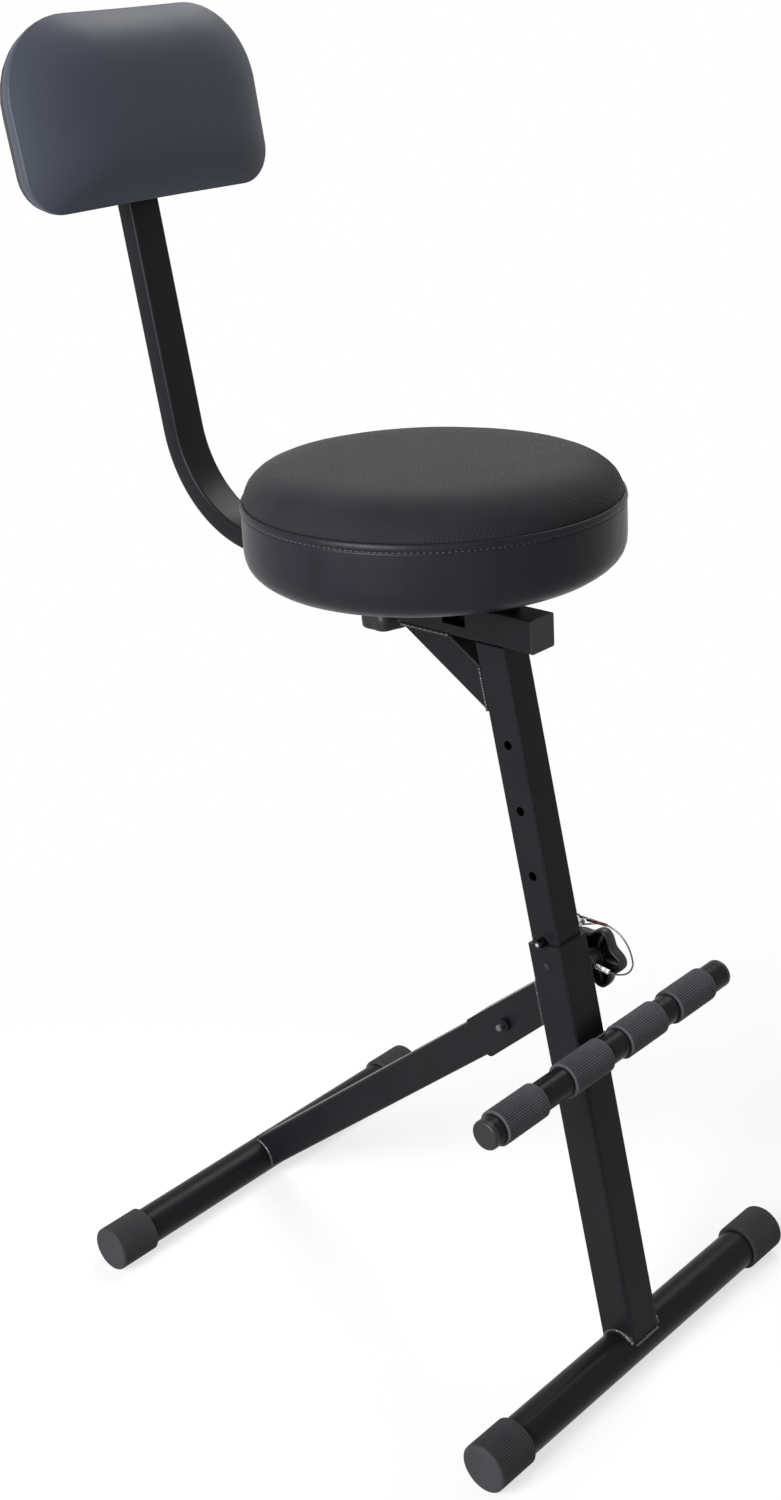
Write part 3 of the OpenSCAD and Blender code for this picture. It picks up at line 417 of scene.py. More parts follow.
def copper_crimp():
    """Soft copper, pressed on: warm and a little tarnished."""
    return metal("crimped_copper", colours().copper, 0.36, 0.5 * MM)


def aluminium_crimp():
    """Soft aluminium, pressed on: pale and bright."""
    return metal("crimped_aluminium", linear("#e2e3e6"), 0.4, 2 * MM)


def coated_wire():
    """Stranded steel under clear nylon: dark, with the strands' slanted ripple under a glossy skin."""
    skin_gloss = {"IOR": 1.53, "Coat_Weight": 0.5, "Coat_Roughness": 0.1}
    made, tree, shader, place = start_material("nylon_coated_wire", linear("#1d1e20"), 0.34, **skin_gloss)
    slant = add_node(tree, "ShaderNodeMapping", {"Vector": place, "Rotation": (0.6, 0.4, 0.0)}).outputs[0]
    # The wave texture repeats every 0.31 / scale: here every 1.9 mm, a strand's lay
    ripple = {"Vector": slant, "Scale": 1 / (6 * MM), "Distortion": 0.5}
    strand = add_node(tree, "ShaderNodeTexWave", ripple).outputs[1]
    base = linear("#2a2b2e")
    patterned(tree, shader, strand, depth=0.06 * MM, shift=strand, base=base, tones=(0.6, 1.4))
    return made


def band_vinyl():
    """PVC leathercloth, embossed with a fine leather grain and pulled tight: glossy, pebbled highlights."""
    grain_size = 1.5 * MM
    pore_size = 0.8 * MM
    pull_size = 30 * MM
    base = colours().vinyl
    sockets = {"IOR": 1.54, "Specular_IOR_Level": 0.08}
    made, tree, shader, place = start_material("embossed_vinyl", base, 0.32, **sockets)
    pattern = {"Vector": place, "Scale": 1 / grain_size}
    grain = add_node(tree, "ShaderNodeTexVoronoi", pattern, feature="DISTANCE_TO_EDGE").outputs[0]
    pattern = {"Vector": place, "Scale": 1 / pore_size, "Detail": 3.0}
    pores = add_node(tree, "ShaderNodeTexNoise", pattern).outputs[0]
    drawn = add_node(tree, "ShaderNodeMapping", {"Vector": place, "Scale": (1, 1, 0.3)}).outputs[0]
    pattern = {"Vector": drawn, "Scale": 1 / pull_size, "Detail": 4.0}
    pull = add_node(tree, "ShaderNodeTexNoise", pattern).outputs[0]
    creases = add_node(tree, "ShaderNodeMath", {0: grain, 1: 0.25}, operation="MINIMUM").outputs[0]
    relief = add_node(tree, "ShaderNodeMath", {0: creases, 1: pores}, operation="ADD").outputs[0]
    tones, gloss = (0.8, 1.25), (0.27, 0.42)
    patterned(tree, shader, relief, depth=0.11 * MM, shift=pull, base=base, tones=tones, gloss=gloss)
    return made


def pad_vinyl():
    """Smooth calendered vinyl over foam: a soft satin sheet with hardly any grain and wide highlights."""
    base = colours().pad
    grain, ease = (1.1 * MM, 4), (70 * MM, 2)
    tones, gloss = (0.9, 1.12), (0.45, 0.55)
    depth = 0.05 * MM
    sockets = {"IOR": 1.54, "Specular_IOR_Level": 0.14}
    return grained("smooth_vinyl", base, tones, gloss, grain, ease, depth, **sockets)


def woven_cloth():
    """Plain-woven polyester: matt, with a dusty sheen. Its 0.5 mm threads are drawn 1.3 mm wide to show."""
    thread = 1.3 * MM
    fade_size = 60 * MM
    base = colours().cloth
    dusty = {"IOR": 1.46, "Specular_IOR_Level": 0.12, "Sheen_Weight": 0.06, "Sheen_Roughness": 0.4}
    made, tree, shader, place = start_material("woven_polyester", base, 0.9, **dusty)
    # The wave texture repeats every 0.31 / scale: here every two threads
    threads = {"Vector": place, "Scale": 1 / (thread * 6.3), "Distortion": 0.6}
    warp = add_node(tree, "ShaderNodeTexWave", threads).outputs[1]
    weft = add_node(tree, "ShaderNodeTexWave", threads, bands_direction="Y").outputs[1]
    weave = add_node(tree, "ShaderNodeMath", {0: warp, 1: weft}, operation="MULTIPLY").outputs[0]
    pattern = {"Vector": place, "Scale": 1 / thread, "Detail": 5.0}
    fleck = add_node(tree, "ShaderNodeTexNoise", pattern).outputs[0]
    pattern = {"Vector": place, "Scale": 1 / fade_size, "Detail": 2.0}
    fade = add_node(tree, "ShaderNodeTexNoise", pattern).outputs[0]
    speckle = add_node(tree, "ShaderNodeMath", {0: fleck, 1: fade}, operation="MULTIPLY").outputs[0]
    relief = add_node(tree, "ShaderNodeMath", {0: weave, 1: fleck}, operation="ADD").outputs[0]
    patterned(tree, shader, relief, depth=0.22 * MM, shift=speckle, base=base, tones=(0.55, 1.9))
    return made


def sewing_thread():
    """Bonded nylon thread, twisted from three plies: black with a dull shine."""
    ply_size = 0.5 * MM
    made, tree, shader, place = start_material("bonded_thread", linear("#34363c"), 0.5, IOR=1.53)
    pattern = {"Vector": place, "Scale": 1 / ply_size, "Detail": 2.0}
    plies = add_node(tree, "ShaderNodeTexNoise", pattern).outputs[0]
    patterned(tree, shader, plies, depth=0.1 * MM)
    return made


def stained_plywood():
    """Birch plywood, sawn and stained black: dull, with long grain showing through the stain."""
    grain_size = 3 * MM
    stain = linear("#1c1a18")
    made, tree, shader, place = start_material("stained_plywood", stain, 0.75, IOR=1.5)
    long = add_node(tree, "ShaderNodeMapping", {"Vector": place, "Scale": (1, 0.08, 1)}).outputs[0]
    pattern = {"Vector": long, "Scale": 1 / grain_size, "Detail": 5.0}
    grain = add_node(tree, "ShaderNodeTexNoise", pattern).outputs[0]
    patterned(tree, shader, grain, depth=0.15 * MM, shift=grain, base=stain, tones=(0.6, 1.8))
    return made


FINISHES = {}


def finish(maker):
    """One shared material for each maker function."""
    if maker not in FINISHES:
        FINISHES[maker] = maker()
    return FINISHES[maker]


def coat(nodes, maker):
    """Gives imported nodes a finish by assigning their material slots."""
    for name in nodes:
        slots = frame["nodes"][name].data.materials
        if len(slots):
            for i in range(len(slots)):
                slots[i] = finish(maker)
        else:
            slots.append(finish(maker))


# Stage and camera

# Fitted to the chair's edges in the photograph: place, turn in degrees, focal length and optical centre
CAMERA_AT = Vector((-1.2025, -1.1714, 1.2549))
CAMERA_TURN = (68.471, 3.251, -47.024)
FOCAL_PIXELS = 1974.6
CENTRE_PIXEL = (378.6, 702.9)
PHOTO = (781, 1500)
SENSOR = 36.0
FARTHEST = 200

# Each lamp's name, place, aim, size and power in watts
LAMPS = (
    ("window_left", (-2.55, -0.2, 1.55), (0, 0, 0.6), 1.5, 180),
    ("softbox_above", (1.35, 0.2, 2.65), (0, 0, 0.5), 1.4, 52),
    ("fill_right", (2.2, -2.0, 1.4), (0, 0, 0.6), 2.0, 3),
)


def make_camera():
    view = bpy.data.cameras.new("camera")
    view.sensor_width = SENSOR
    view.lens = FOCAL_PIXELS / PHOTO[1] * SENSOR
    view.shift_x = (PHOTO[0] / 2 - CENTRE_PIXEL[0]) / PHOTO[1]
    view.shift_y = (CENTRE_PIXEL[1] - PHOTO[1] / 2) / PHOTO[1]
    view.clip_end = FARTHEST
    camera = bpy.data.objects.new("camera", view)
    camera.location = CAMERA_AT
    camera.rotation_euler = [math.radians(a) for a in CAMERA_TURN]
    bpy.context.scene.collection.objects.link(camera)
    bpy.context.scene.camera = camera


def seen_directly(tree):
    """1 for rays from the camera and those that mirrors and glass send on, otherwise 0."""
    path = add_node(tree, "ShaderNodeLightPath")
    seen = path.outputs["Is Camera Ray"]
    for name in ("Is Glossy Ray", "Is Transmission Ray"):
        either = {0: seen, 1: path.outputs[name]}
        seen = add_node(tree, "ShaderNodeMath", either, operation="MAXIMUM").outputs[0]
    return seen


def make_floor():
    """A very large pale floor that keeps the chair's shadow and fades to white away from it."""
    half = 60.0
    fade_start, fade_end = 0.35, 1.1
    shade_share = 0.3
    corners = [Vector((x * half, y * half, 0)) for x, y in ((-1, -1), (1, -1), (1, 1), (-1, 1))]
    made = bpy.data.materials.new("studio_floor")
    made.use_nodes = True
    tree = made.node_tree
    tree.nodes.clear()
    paint = add_node(tree, "ShaderNodeBsdfDiffuse", {"Color": colours().stage}).outputs[0]
    glow = add_node(tree, "ShaderNodeEmission", {"Color": WHITE, "Strength": 1.0}).outputs[0]
    place = add_node(tree, "ShaderNodeTexCoord").outputs["Object"]
    distance = add_node(tree, "ShaderNodeVectorMath", {0: place}, operation="LENGTH").outputs["Value"]
    reach = {"Value": distance, "From Min": fade_start, "From Max": fade_end, "To Min": 1 - shade_share}
    fade = add_node(tree, "ShaderNodeMapRange", reach, interpolation_type="SMOOTHSTEP").outputs[0]
    share = {0: fade, 1: seen_directly(tree)}
    white = add_node(tree, "ShaderNodeMath", share, operation="MULTIPLY").outputs[0]
    mixed = add_node(tree, "ShaderNodeMixShader", {0: white, 1: paint, 2: glow}).outputs[0]
    add_node(tree, "ShaderNodeOutputMaterial", {"Surface": mixed})
    piece("studio_floor_sheet", corners, [(0, 1, 2, 3)], made)


def make_world():
    """Even, dim light from all around, which the camera sees as white."""
    strength = 0.16
    world = bpy.data.worlds.new("studio")
    world.use_nodes = True
    tree = world.node_tree
    tree.nodes.clear()
    lit = add_node(tree, "ShaderNodeBackground", {"Color": WHITE, "Strength": strength}).outputs[0]
    seen = add_node(tree, "ShaderNodeBackground", {"Color": WHITE, "Strength": 1.0}).outputs[0]
    mixed = add_node(tree, "ShaderNodeMixShader", {0: seen_directly(tree), 1: lit, 2: seen}).outputs[0]
    add_node(tree, "ShaderNodeOutputWorld", {"Surface": mixed})
    bpy.context.scene.world = world


def make_light(name, place, aim, size, power):
    lamp = bpy.data.lights.new(name, "AREA")
    lamp.shape = "SQUARE"
    lamp.size = size
    lamp.energy = power
    made = bpy.data.objects.new(name, lamp)
    made.location = place
    made.rotation_euler = (Vector(aim) - Vector(place)).to_track_quat("-Z", "Y").to_euler()
    bpy.context.scene.collection.objects.link(made)


class GIGCHAIR_OT_camera(bpy.types.Operator):
    """Set up the camera at the photograph's viewing angle"""

    bl_idname = "gig_chair.camera"
    bl_label = "Camera"

    def execute(self, context):
        make_camera()
        context.scene.view_settings.view_transform = "Standard"
        return {"FINISHED"}


class GIGCHAIR_OT_stage(bpy.types.Operator):
    """Make the pale floor, the white surroundings and the soft lights"""

    bl_idname = "gig_chair.stage"
    bl_label = "Stage"

    def execute(self, context):
        make_floor()
        make_world()
        for lamp in LAMPS:
            make_light(*lamp)
        return {"FINISHED"}


# Lanyard

# The free wire's points in the post's frame, in millimetres: across, back, up
WIRE_ROUTE = [
    (32, -32, 404.5),
    (32, -37, 402.5),
    (32, -45, 397),
    (32, -51, 388),
    (32, -53.5, 379),
    (32, -53.5, 370.5),
    (32, -50, 364),
    (32, -43.5, 359.5),
    (32, -34, 357.5),
    (32, -24.5, 358.5),
]
WIRE_ACROSS = WIRE_ROUTE[0][0]
WIRE_SPLIT = 5
WIRE_STEPS = 8

# Where the pin's eye closes, and where the two ferrules begin, in the same frame
PIN_EYE_CLOSES = (32, -22, 406)
PIN_FERRULE_BEGINS = (32, -10, 407.4)
STUD_FERRULE_BEGINS = (32, -11, 363)


def on_post(across, back, up):
    return post_place @ (Vector((across, back, up)) * MM)


def middle_up(node):
    """Height of a node's middle along the post, in millimetres."""
    return (post_place.inverted() @ middle(node)).z / MM


def eye_path(centre, start, shaft):
    """A loop of wire round a shaft, from one side of its ferrule to the other."""
    play = 0.4 * MM
    open_angle, step = 50, 10
    radius = shaft / 2 + play + sizes().wire / 2
    out = (start - centre).normalized()
    side = ACROSS.cross(out)
    round_shaft = [
        centre + radius * (math.cos(math.radians(a)) * out + math.sin(math.radians(a)) * side)
        for a in range(open_angle, 361 - open_angle, step)
    ]
    apart = sizes().wire / 2 * side
    return [start + apart, *round_shaft, start - apart]


def crimp(start, end, radius):
    """A pressed sleeve: a short tube with two dips where the jaws closed."""
    steps, sides = 24, 20
    jaws = (0.3, 0.7)
    dip_depth, dip_width = 0.08, 0.1
    mouth, easing = 0.82, 6
    path, radii = [], []
    for i in range(steps + 1):
        t = i / steps
        dips = sum(math.exp(-(((t - jaw) / dip_width) ** 2)) for jaw in jaws)
        edge = min(1.0, mouth + easing * min(t, 1 - t))
        path.append(start.lerp(end, t))
        radii.append(radius * edge * (1 - dip_depth * dips))
    return swept(path, radii, sides)


class GIGCHAIR_OT_lanyard(bpy.types.Operator):
    """Make the lanyard's wire, its two eyes and their crimped sleeves"""

    bl_idname = "gig_chair.lanyard"
    bl_label = "Lanyard"

    pin_shaft = 8 * MM
    stud_shaft = 10 * MM
    copper_radius = 1.5 * MM
    aluminium_radius = 2.3 * MM
    wire_sides = 12

    def execute(self, context):
        route = [on_post(*p) for p in WIRE_ROUTE]
        path = smooth_route(route, WIRE_STEPS)
        split = WIRE_SPLIT * WIRE_STEPS
        upper, lower = path[: split + 1], path[split:]
        high = self.make_wire("lanyard_wire_upper", upper, "lanyard_wire")
        low = self.make_wire("lanyard_wire_lower", lower, "lanyard_wire")
        centre = on_post(WIRE_ACROSS, 0, middle_up("lock_pin"))
        loop = eye_path(centre, on_post(*PIN_EYE_CLOSES), self.pin_shaft)
        pin_eye = self.make_wire("lanyard_pin_loop", loop, "lanyard_pin_eye", body="lock_pin")
        pin_crimp = piece(
            "lanyard_copper_sleeve",
            *crimp(on_post(*PIN_FERRULE_BEGINS), route[0], self.copper_radius),
            finish(copper_crimp),
            body="lock_pin",
            slot="copper_crimp",
        )
        centre = on_post(WIRE_ACROSS, 0, clamp_up / MM)
        stud_start = on_post(*STUD_FERRULE_BEGINS)
        loop = eye_path(centre, stud_start, self.stud_shaft)
        stud_eye = self.make_wire("lanyard_stud_loop", loop, "lanyard_stud_eye", body="base")
        stud_crimp = piece(
            "lanyard_aluminium_sleeve",
            *crimp(stud_start, route[-1], self.aluminium_radius),
            finish(aluminium_crimp),
            body="base",
            slot="aluminium_crimp",
        )
        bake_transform(high)
        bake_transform(low)
        self.declare(high, upper, [pin_eye, pin_crimp])
        self.declare(low, lower, [stud_eye, stud_crimp])
        return {"FINISHED"}

    def make_wire(self, name, path, node, body=None):
        tube = swept(path, sizes().wire / 2, self.wire_sides)
        return piece(name, *tube, finish(coated_wire), body=body, replaced=[node], slot="coated_wire")

    def declare(self, made, path, fittings):
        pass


# Ribbed rubber and moulded knobs


def groove(turn, ribs):
    """Depth share of the groove between two ribs: ribs with flat crests and narrow grooves."""
    return max(0.0, math.cos(ribs * turn)) ** 1.5


def ribbed(place, side, profile, ribs, per_rib=6):
    """A ribbed shell around X. The profile gives places along X, radii, and shares of the rib depth."""
    count = ribs * per_rib
    turns = [2 * math.pi * k / count for k in range(count)]
    depth = sizes().rib_depth
    rings = []
    for along, radius, share in profile:
        ring = []
        for turn in turns:
            r = radius - depth * share * groove(turn, ribs)
            ring.append(place @ Vector((side * along, r * math.cos(turn), r * math.sin(turn))))
        rings.append(ring if side > 0 else ring[::-1])
    return rings


def rounded_end(start, radius, edge, share, steps=4):
    """Profile places round an edge, from the side to the end face."""
    angles = [math.pi / 2 * i / steps for i in range(1, steps + 1)]
    return [(start + edge * math.sin(a), radius - edge * (1 - math.cos(a)), share) for a in angles]


class GIGCHAIR_OT_foot_caps(bpy.types.Operator):
    """Make the four ribbed rubber caps of the feet"""

    bl_idname = "gig_chair.foot_caps"
    bl_label = "Foot caps"

    lip = 1.3 * MM
    edge = 2.4 * MM
    recess = 0.5 * MM

    def execute(self, context):
        for foot, body in (("front", "base"), ("rear", "rear_leg")):
            for hand, side in HANDS:
                self.make_cap(f"{foot}_foot_cap_{hand}", foot, body, side)
        return {"FINISHED"}

    def make_cap(self, node, foot, body, side):
        low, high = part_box(node)
        centre = (low + high) / 2
        radius = round_radius(node)
        tube = round_radius(f"{foot}_foot_tube")
        cap_length = high.x - low.x
        place = Matrix.Translation(Vector((centre.x - side * cap_length / 2, centre.y, centre.z)))
        profile = [
            (0, tube, 0),
            (0, radius - self.lip / 2, 0),
            (self.lip / 2, radius, 0),
            (self.lip, radius, 0),
            (self.lip * 1.5, radius, 1),
            (cap_length * 0.5, radius, 1),
            (cap_length - self.edge * 1.6, radius, 1),
            (cap_length - self.edge * 1.1, radius, 0.2),
            *rounded_end(cap_length - self.edge, radius, self.edge, 0),
            (cap_length, radius * 0.8, 0),
            (cap_length - self.recess, radius * 0.76, 0),
            (cap_length - self.recess, radius * 0.3, 0),
        ]
        cap = skin(ribbed(place, side, profile, sizes().cap_ribs), start_cap=False)
        piece(f"{node}_rubber", *cap, finish(moulded_rubber), body=body, replaced=[node], slot="black_rubber")


class GIGCHAIR_OT_sleeves(bpy.types.Operator):
    """Make the footrest's four ribbed sleeves"""

    bl_idname = "gig_chair.sleeves"
    bl_label = "Footrest sleeves"

    lip = 1.2 * MM
    post_gap = 0.3 * MM
    post_wall = 3 * MM

    def execute(self, context):
        bar_radius = round_radius("footrest_bar")
        for number in range(1, 5):
            node = f"footrest_sleeve_{number}"
            low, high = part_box(node)
            place = Matrix.Translation(Vector((low.x, rest_centre.y, rest_centre.z)))
            self.make_sleeve(node, place, high.x - low.x, bar_radius, round_radius(node))
        return {"FINISHED"}

    def make_sleeve(self, node, place, long, inner, radius):
        half_profile = [
            (self.lip, inner, 0),
            (0, inner, 0),
            (0, radius - self.lip / 2, 0),
            (self.lip / 2, radius, 0),
            (self.lip, radius, 0),
            (self.lip * 1.5, radius, 1),
        ]
        other_half = [(long - along, r, share) for along, r, share in reversed(half_profile)]
        profile = [*half_profile, (long / 2, radius, 1), *other_half]
        rings = ribbed(place, 1, profile, sizes().sleeve_ribs)
        points, faces = skin(rings, start_cap=False, end_cap=False)
        piece(
            f"{node}_rubber",
            self.off_the_post(points),
            faces,
            finish(sleeve_rubber),
            body="base",
            replaced=[node],
            slot="black_rubber",
        )

    def off_the_post(self, points):
        """A sleeve that laps the post is flattened against its front face."""
        low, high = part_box("guide_bushing")
        half = (high.x - low.x) / 2 + self.post_wall
        to_post = post_place.inverted()
        face = (to_post @ rest_centre).y + round_radius("footrest_bar") - self.post_gap
        moved = []
        for point in points:
            local = to_post @ point
            if abs(local.x) < half and local.y > face:
                local.y = face
            moved.append(post_place @ local)
        return moved


KNOB_SIDES = 180
COLLAR_SIDES = 60


def star_ring(place, along, mean, swell, lobes, first, count):
    """A ring around Z whose radius swells at each lobe, the first at a given turn."""
    ring = []
    for k in range(count):
        turn = 2 * math.pi * k / count
        r = mean + swell * math.cos(lobes * (turn - first))
        ring.append(place @ Vector((r * math.cos(turn), r * math.sin(turn), along)))
    return ring


def star_knob(place, thick, lobes, wall, mean, swell, hub, bore, first):
    """A lobed knob along Z: hollow ribbed back at zero, eased rims and a dished front with a round cap."""
    edge, edge_steps = 3.2 * MM, 5
    rim = 0.8 * MM
    dish = 1.0 * MM
    cap_radius = 0.46 * mean
    floor = thick - wall
    profile = [
        (floor, hub * 1.02, 0.0),
        (floor, mean - wall - 2 * MM, swell),
        (floor - 2 * MM, mean - wall, swell),
        (rim, mean - wall, swell),
        (0, mean - wall + rim, swell),
        (0, mean - rim, swell),
        (rim, mean, swell),
        (thick * 0.5, mean + 0.3 * MM, swell),
    ]
    for i in range(edge_steps + 1):
        a = math.pi / 2 * i / edge_steps
        along = thick - edge + edge * math.sin(a)
        profile.append((along, mean - edge * (1 - math.cos(a)), swell * (1 - 0.1 * a)))
    profile += [
        (thick, cap_radius + 5 * MM, swell * 0.45),
        (thick - dish, cap_radius + 1.5 * MM, 0.0),
        (thick - dish, cap_radius + 0.3 * MM, 0.0),
        (thick - dish * 1.8, cap_radius, 0.0),
        (thick - dish * 0.4, cap_radius - 0.6 * MM, 0.0),
        (thick - dish * 0.2, cap_radius * 0.6, 0.0),
        (thick - dish * 0.1, cap_radius * 0.2, 0.0),
    ]
    collar_profile = [(floor, hub), (rim, hub), (0, hub - rim), (0, bore + rim), (rim, bore), (floor, bore)]
    shell = [star_ring(place, along, r, s, lobes, first, KNOB_SIDES) for along, r, s in profile]
    collar = [star_ring(place, along, r, 0.0, lobes, first, COLLAR_SIDES) for along, r in collar_profile]
    turns = [first + 2 * math.pi * i / lobes for i in range(lobes)]
    ribs = [knob_rib(place, turn, hub, mean + swell - wall, floor) for turn in turns]
    return joined(skin(shell, start_cap=False), skin(collar, start_cap=False, end_cap=False), *ribs)


def knob_rib(place, turn, inner, outer, floor):
    """A thin web inside the knob's back, from the hub to the rim."""
    half = 1.1 * MM
    sunk = 1.5 * MM
    out = Vector((math.cos(turn), math.sin(turn), 0))
    side = Vector((-out.y, out.x, 0))
    rings = []
    for r in (inner - half, outer + half):
        ring = [(-half, floor), (-half * 0.8, sunk), (half * 0.8, sunk), (half, floor)]
        rings.append([place @ (r * out + s * side + Vector((0, 0, z))) for s, z in ring])
    return skin(rings)


class GIGCHAIR_OT_knobs(bpy.types.Operator):
    """Make the post's star knob and the smaller knob under the seat"""

    bl_idname = "gig_chair.knobs"
    bl_label = "Knobs"

    lobes = 5
    wall = 2.5 * MM
    # Mean radius, swell of the lobes, radii of the hub and its bore, and the turn of the first lobe
    post_knob = (26.3 * MM, 3.6 * MM, 9 * MM, 5.1 * MM, math.radians(120))
    seat_knob = (20 * MM, 1.5 * MM, 8 * MM, 4.1 * MM, 0.0)

    def execute(self, context):
        low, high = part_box("height_knob")
        centre = Vector(joints["height_knob_turn"]["pos_m"])
        centre.x = low.x
        self.make_knob("height_knob", centre, (post_back, post_up, ACROSS), high.x - low.x, self.post_knob)
        low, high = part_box("backrest_knob")
        centre = middle("backrest_knob_stud")
        centre.z = high.z
        downwards = (ACROSS, Vector((0, -1, 0)), Vector((0, 0, -1)))
        self.make_knob("backrest_knob", centre, downwards, high.z - low.z, self.seat_knob)
        return {"FINISHED"}

    def make_knob(self, node, centre, axes, thick, knob):
        place = Matrix.Translation(centre) @ Matrix(axes).transposed().to_4x4()
        star = star_knob(place, thick, self.lobes, self.wall, *knob)
        nylon = finish(moulded_plastic)
        piece(f"{node}_star", *star, nylon, body=node, replaced=[node], slot="black_plastic")


# Backrest bar


class GIGCHAIR_OT_backrest_bar(bpy.types.Operator):
    """Make the bent bar that carries the back pad"""

    bl_idname = "gig_chair.backrest_bar"
    bl_label = "Backrest bar"

    width = 35 * MM
    corner = 3 * MM
    bend_radius = 112 * MM
    upright = 435 * MM
    bend_steps = 40

    def section(self):
        """The bar's rounded outline, across and outwards."""
        steps = 4
        points = []
        for quarter, (sx, sy) in enumerate(((1, 1), (-1, 1), (-1, -1), (1, -1))):
            for step in range(steps + 1):
                a = math.radians(90 * quarter + 90 / steps * step)
                x = sx * (self.width / 2 - self.corner) + self.corner * math.cos(a)
                y = sy * (BAR_DEPTH / 2 - self.corner) + self.corner * math.sin(a)
                points.append((x, y))
        return points

    def ring(self, angle, along):
        """The outline, turned by an angle of the bend and moved along the bar from there."""
        run = self.bend_radius * math.tan((math.pi / 2 - BACK_LEAN) / 2)
        ring = []
        for x, y in self.section():
            reach = self.bend_radius + y
            back = -run + reach * math.sin(angle) + along * math.cos(angle)
            up = self.bend_radius - reach * math.cos(angle) + along * math.sin(angle)
            ring.append(bar_corner + Vector((x, back, up)))
        return ring

    def execute(self, context):
        whole = math.pi / 2 - BACK_LEAN
        run = self.bend_radius * math.tan(whole / 2)
        rings = [self.ring(0, run - BAR_LEVEL)]
        rings += [self.ring(whole * i / self.bend_steps, 0) for i in range(self.bend_steps + 1)]
        rings.append(self.ring(whole, self.upright - run))
        bar = piece(
            "backrest_bar_tube",
            *skin(rings),
            finish(powder_coat),
            body="backrest",
            replaced=["backrest_bar"],
            slot="black_powder_coat",
        )
        sharpen_edges(bar.data)
        return {"FINISHED"}


def sharpen_edges(mesh, angle=35):
    """Keeps the edges hard at which two faces meet by more than an angle in degrees."""
    limit = math.radians(angle)
    faces = {}
    for polygon in mesh.polygons:
        for key in polygon.edge_keys:
            faces.setdefault(key, []).append(polygon.normal)
    for edge in mesh.edges:
        normals = faces.get(edge.key, [])
        if len(normals) == 2 and normals[0].angle(normals[1], 0) > limit:
            edge.use_edge_sharp = True


# Cushions


def puffed(points, faces, held, voxel):
    """Inflates a closed form as a pressed cloth over foam and returns a tree for finding its surface."""
    frames = 20
    pressure = 4.0
    stretch, bend = 12, 2.5
    scene = bpy.context.scene
    mesh = bpy.data.meshes.new("puff_form")
    mesh.from_pydata([tuple(p) for p in points], [], faces)
    form = bpy.data.objects.new("puff_form", mesh)
    scene.collection.objects.link(form)
    remesh = form.modifiers.new("cells", "REMESH")
    remesh.mode = "VOXEL"
    remesh.voxel_size = voxel
    cells = evaluated_copy(form)
    form.modifiers.clear()
    form.data = cells
    start = [v.co.copy() for v in cells.vertices]
    group = form.vertex_groups.new(name="held")
    group.add([v.index for v in cells.vertices if held(v.co)], 1.0, "REPLACE")
    cloth = form.modifiers.new("air", "CLOTH")
    cloth.settings.vertex_group_mass = "held"
    cloth.settings.quality = 6
    cloth.settings.use_pressure = True
    cloth.settings.uniform_pressure_force = pressure
    cloth.settings.tension_stiffness = stretch
    cloth.settings.compression_stiffness = stretch
    cloth.settings.bending_stiffness = bend
    cloth.settings.effector_weights.gravity = 0
    cloth.collision_settings.use_collision = False
    for step in range(1, frames + 1):
        scene.frame_set(step)
    swollen = evaluated_copy(form)
    scene.frame_set(1)
    cap = sizes().swelling
    for vertex, before in zip(swollen.vertices, start):
        moved = vertex.co - before
        if moved.length > cap:
            vertex.co = before + moved * (cap / moved.length)
    form.modifiers.clear()
    form.data = swollen
    form.modifiers.new("finer", "SUBSURF").levels = 1
    fine = evaluated_copy(form)
    tree = BVHTree.FromPolygons([v.co for v in fine.vertices], [tuple(p.vertices) for p in fine.polygons])
    bpy.data.objects.remove(form)
    return tree


def evaluated_copy(made):
    bpy.context.view_layer.update()
    graph = bpy.context.evaluated_depsgraph_get()
    return bpy.data.meshes.new_from_object(made.evaluated_get(graph), depsgraph=graph)


def follow(rings, tree, centre, limit, passes=14):
    """Moves rings of points onto a swollen form, along lines from its centre, and evens out the change."""
    shares = []
    for ring in rings:
        row = []
        for p in ring:
            out = p - centre
            hit = tree.ray_cast(centre, out.normalized())[0]
            share = (hit - centre).length / out.length if hit else 1.0
            most = limit / out.length
            row.append(min(1 + most, max(1 - most, share)))
        shares.append(row)
    last = len(shares) - 1
    for _ in range(passes):
        evened = []
        for i, row in enumerate(shares):
            above, below = shares[max(0, i - 1)], shares[min(last, i + 1)]
            beside = zip(row, [row[-1], *row[:-1]], [*row[1:], row[0]], above, below)
            evened.append([(share * 2 + a + b + c + d) / 6 for share, a, b, c, d in beside])
        shares = evened
    return [[centre + (p - centre) * s for p, s in zip(ring, row)] for ring, row in zip(rings, shares)]


# The band is widest at the belly and drawn in above and below it; the crown rises from the band's height
SEAT_RADIUS = 165 * MM
SEAT_BELLY = 30 * MM
SEAT_LOW_DRAW = 13.5 * MM
SEAT_TOP_DRAW = 0.8 * MM
SEAT_BAND = 63.5 * MM
SEAT_EDGE = 61 * MM
SEAT_CROWN = 26.5 * MM
SEAT_CROWN_POWER = 12
SEAT_ROLL = 0.026
SEAT_BORDER = 18 * MM
COVER = 1.2 * MM
BOARD_TOP = 13 * MM


def band_radius(height):
    if height < SEAT_BELLY:
        return SEAT_RADIUS - SEAT_LOW_DRAW * (1 - height / SEAT_BELLY) ** 4
    return SEAT_RADIUS - SEAT_TOP_DRAW * ((height - SEAT_BELLY) / (SEAT_BAND - SEAT_BELLY)) ** 3


RIM_RADIUS = band_radius(SEAT_BAND)


def crown_height(radius):
    return SEAT_BAND + SEAT_CROWN * (1 - (radius / RIM_RADIUS) ** SEAT_CROWN_POWER)


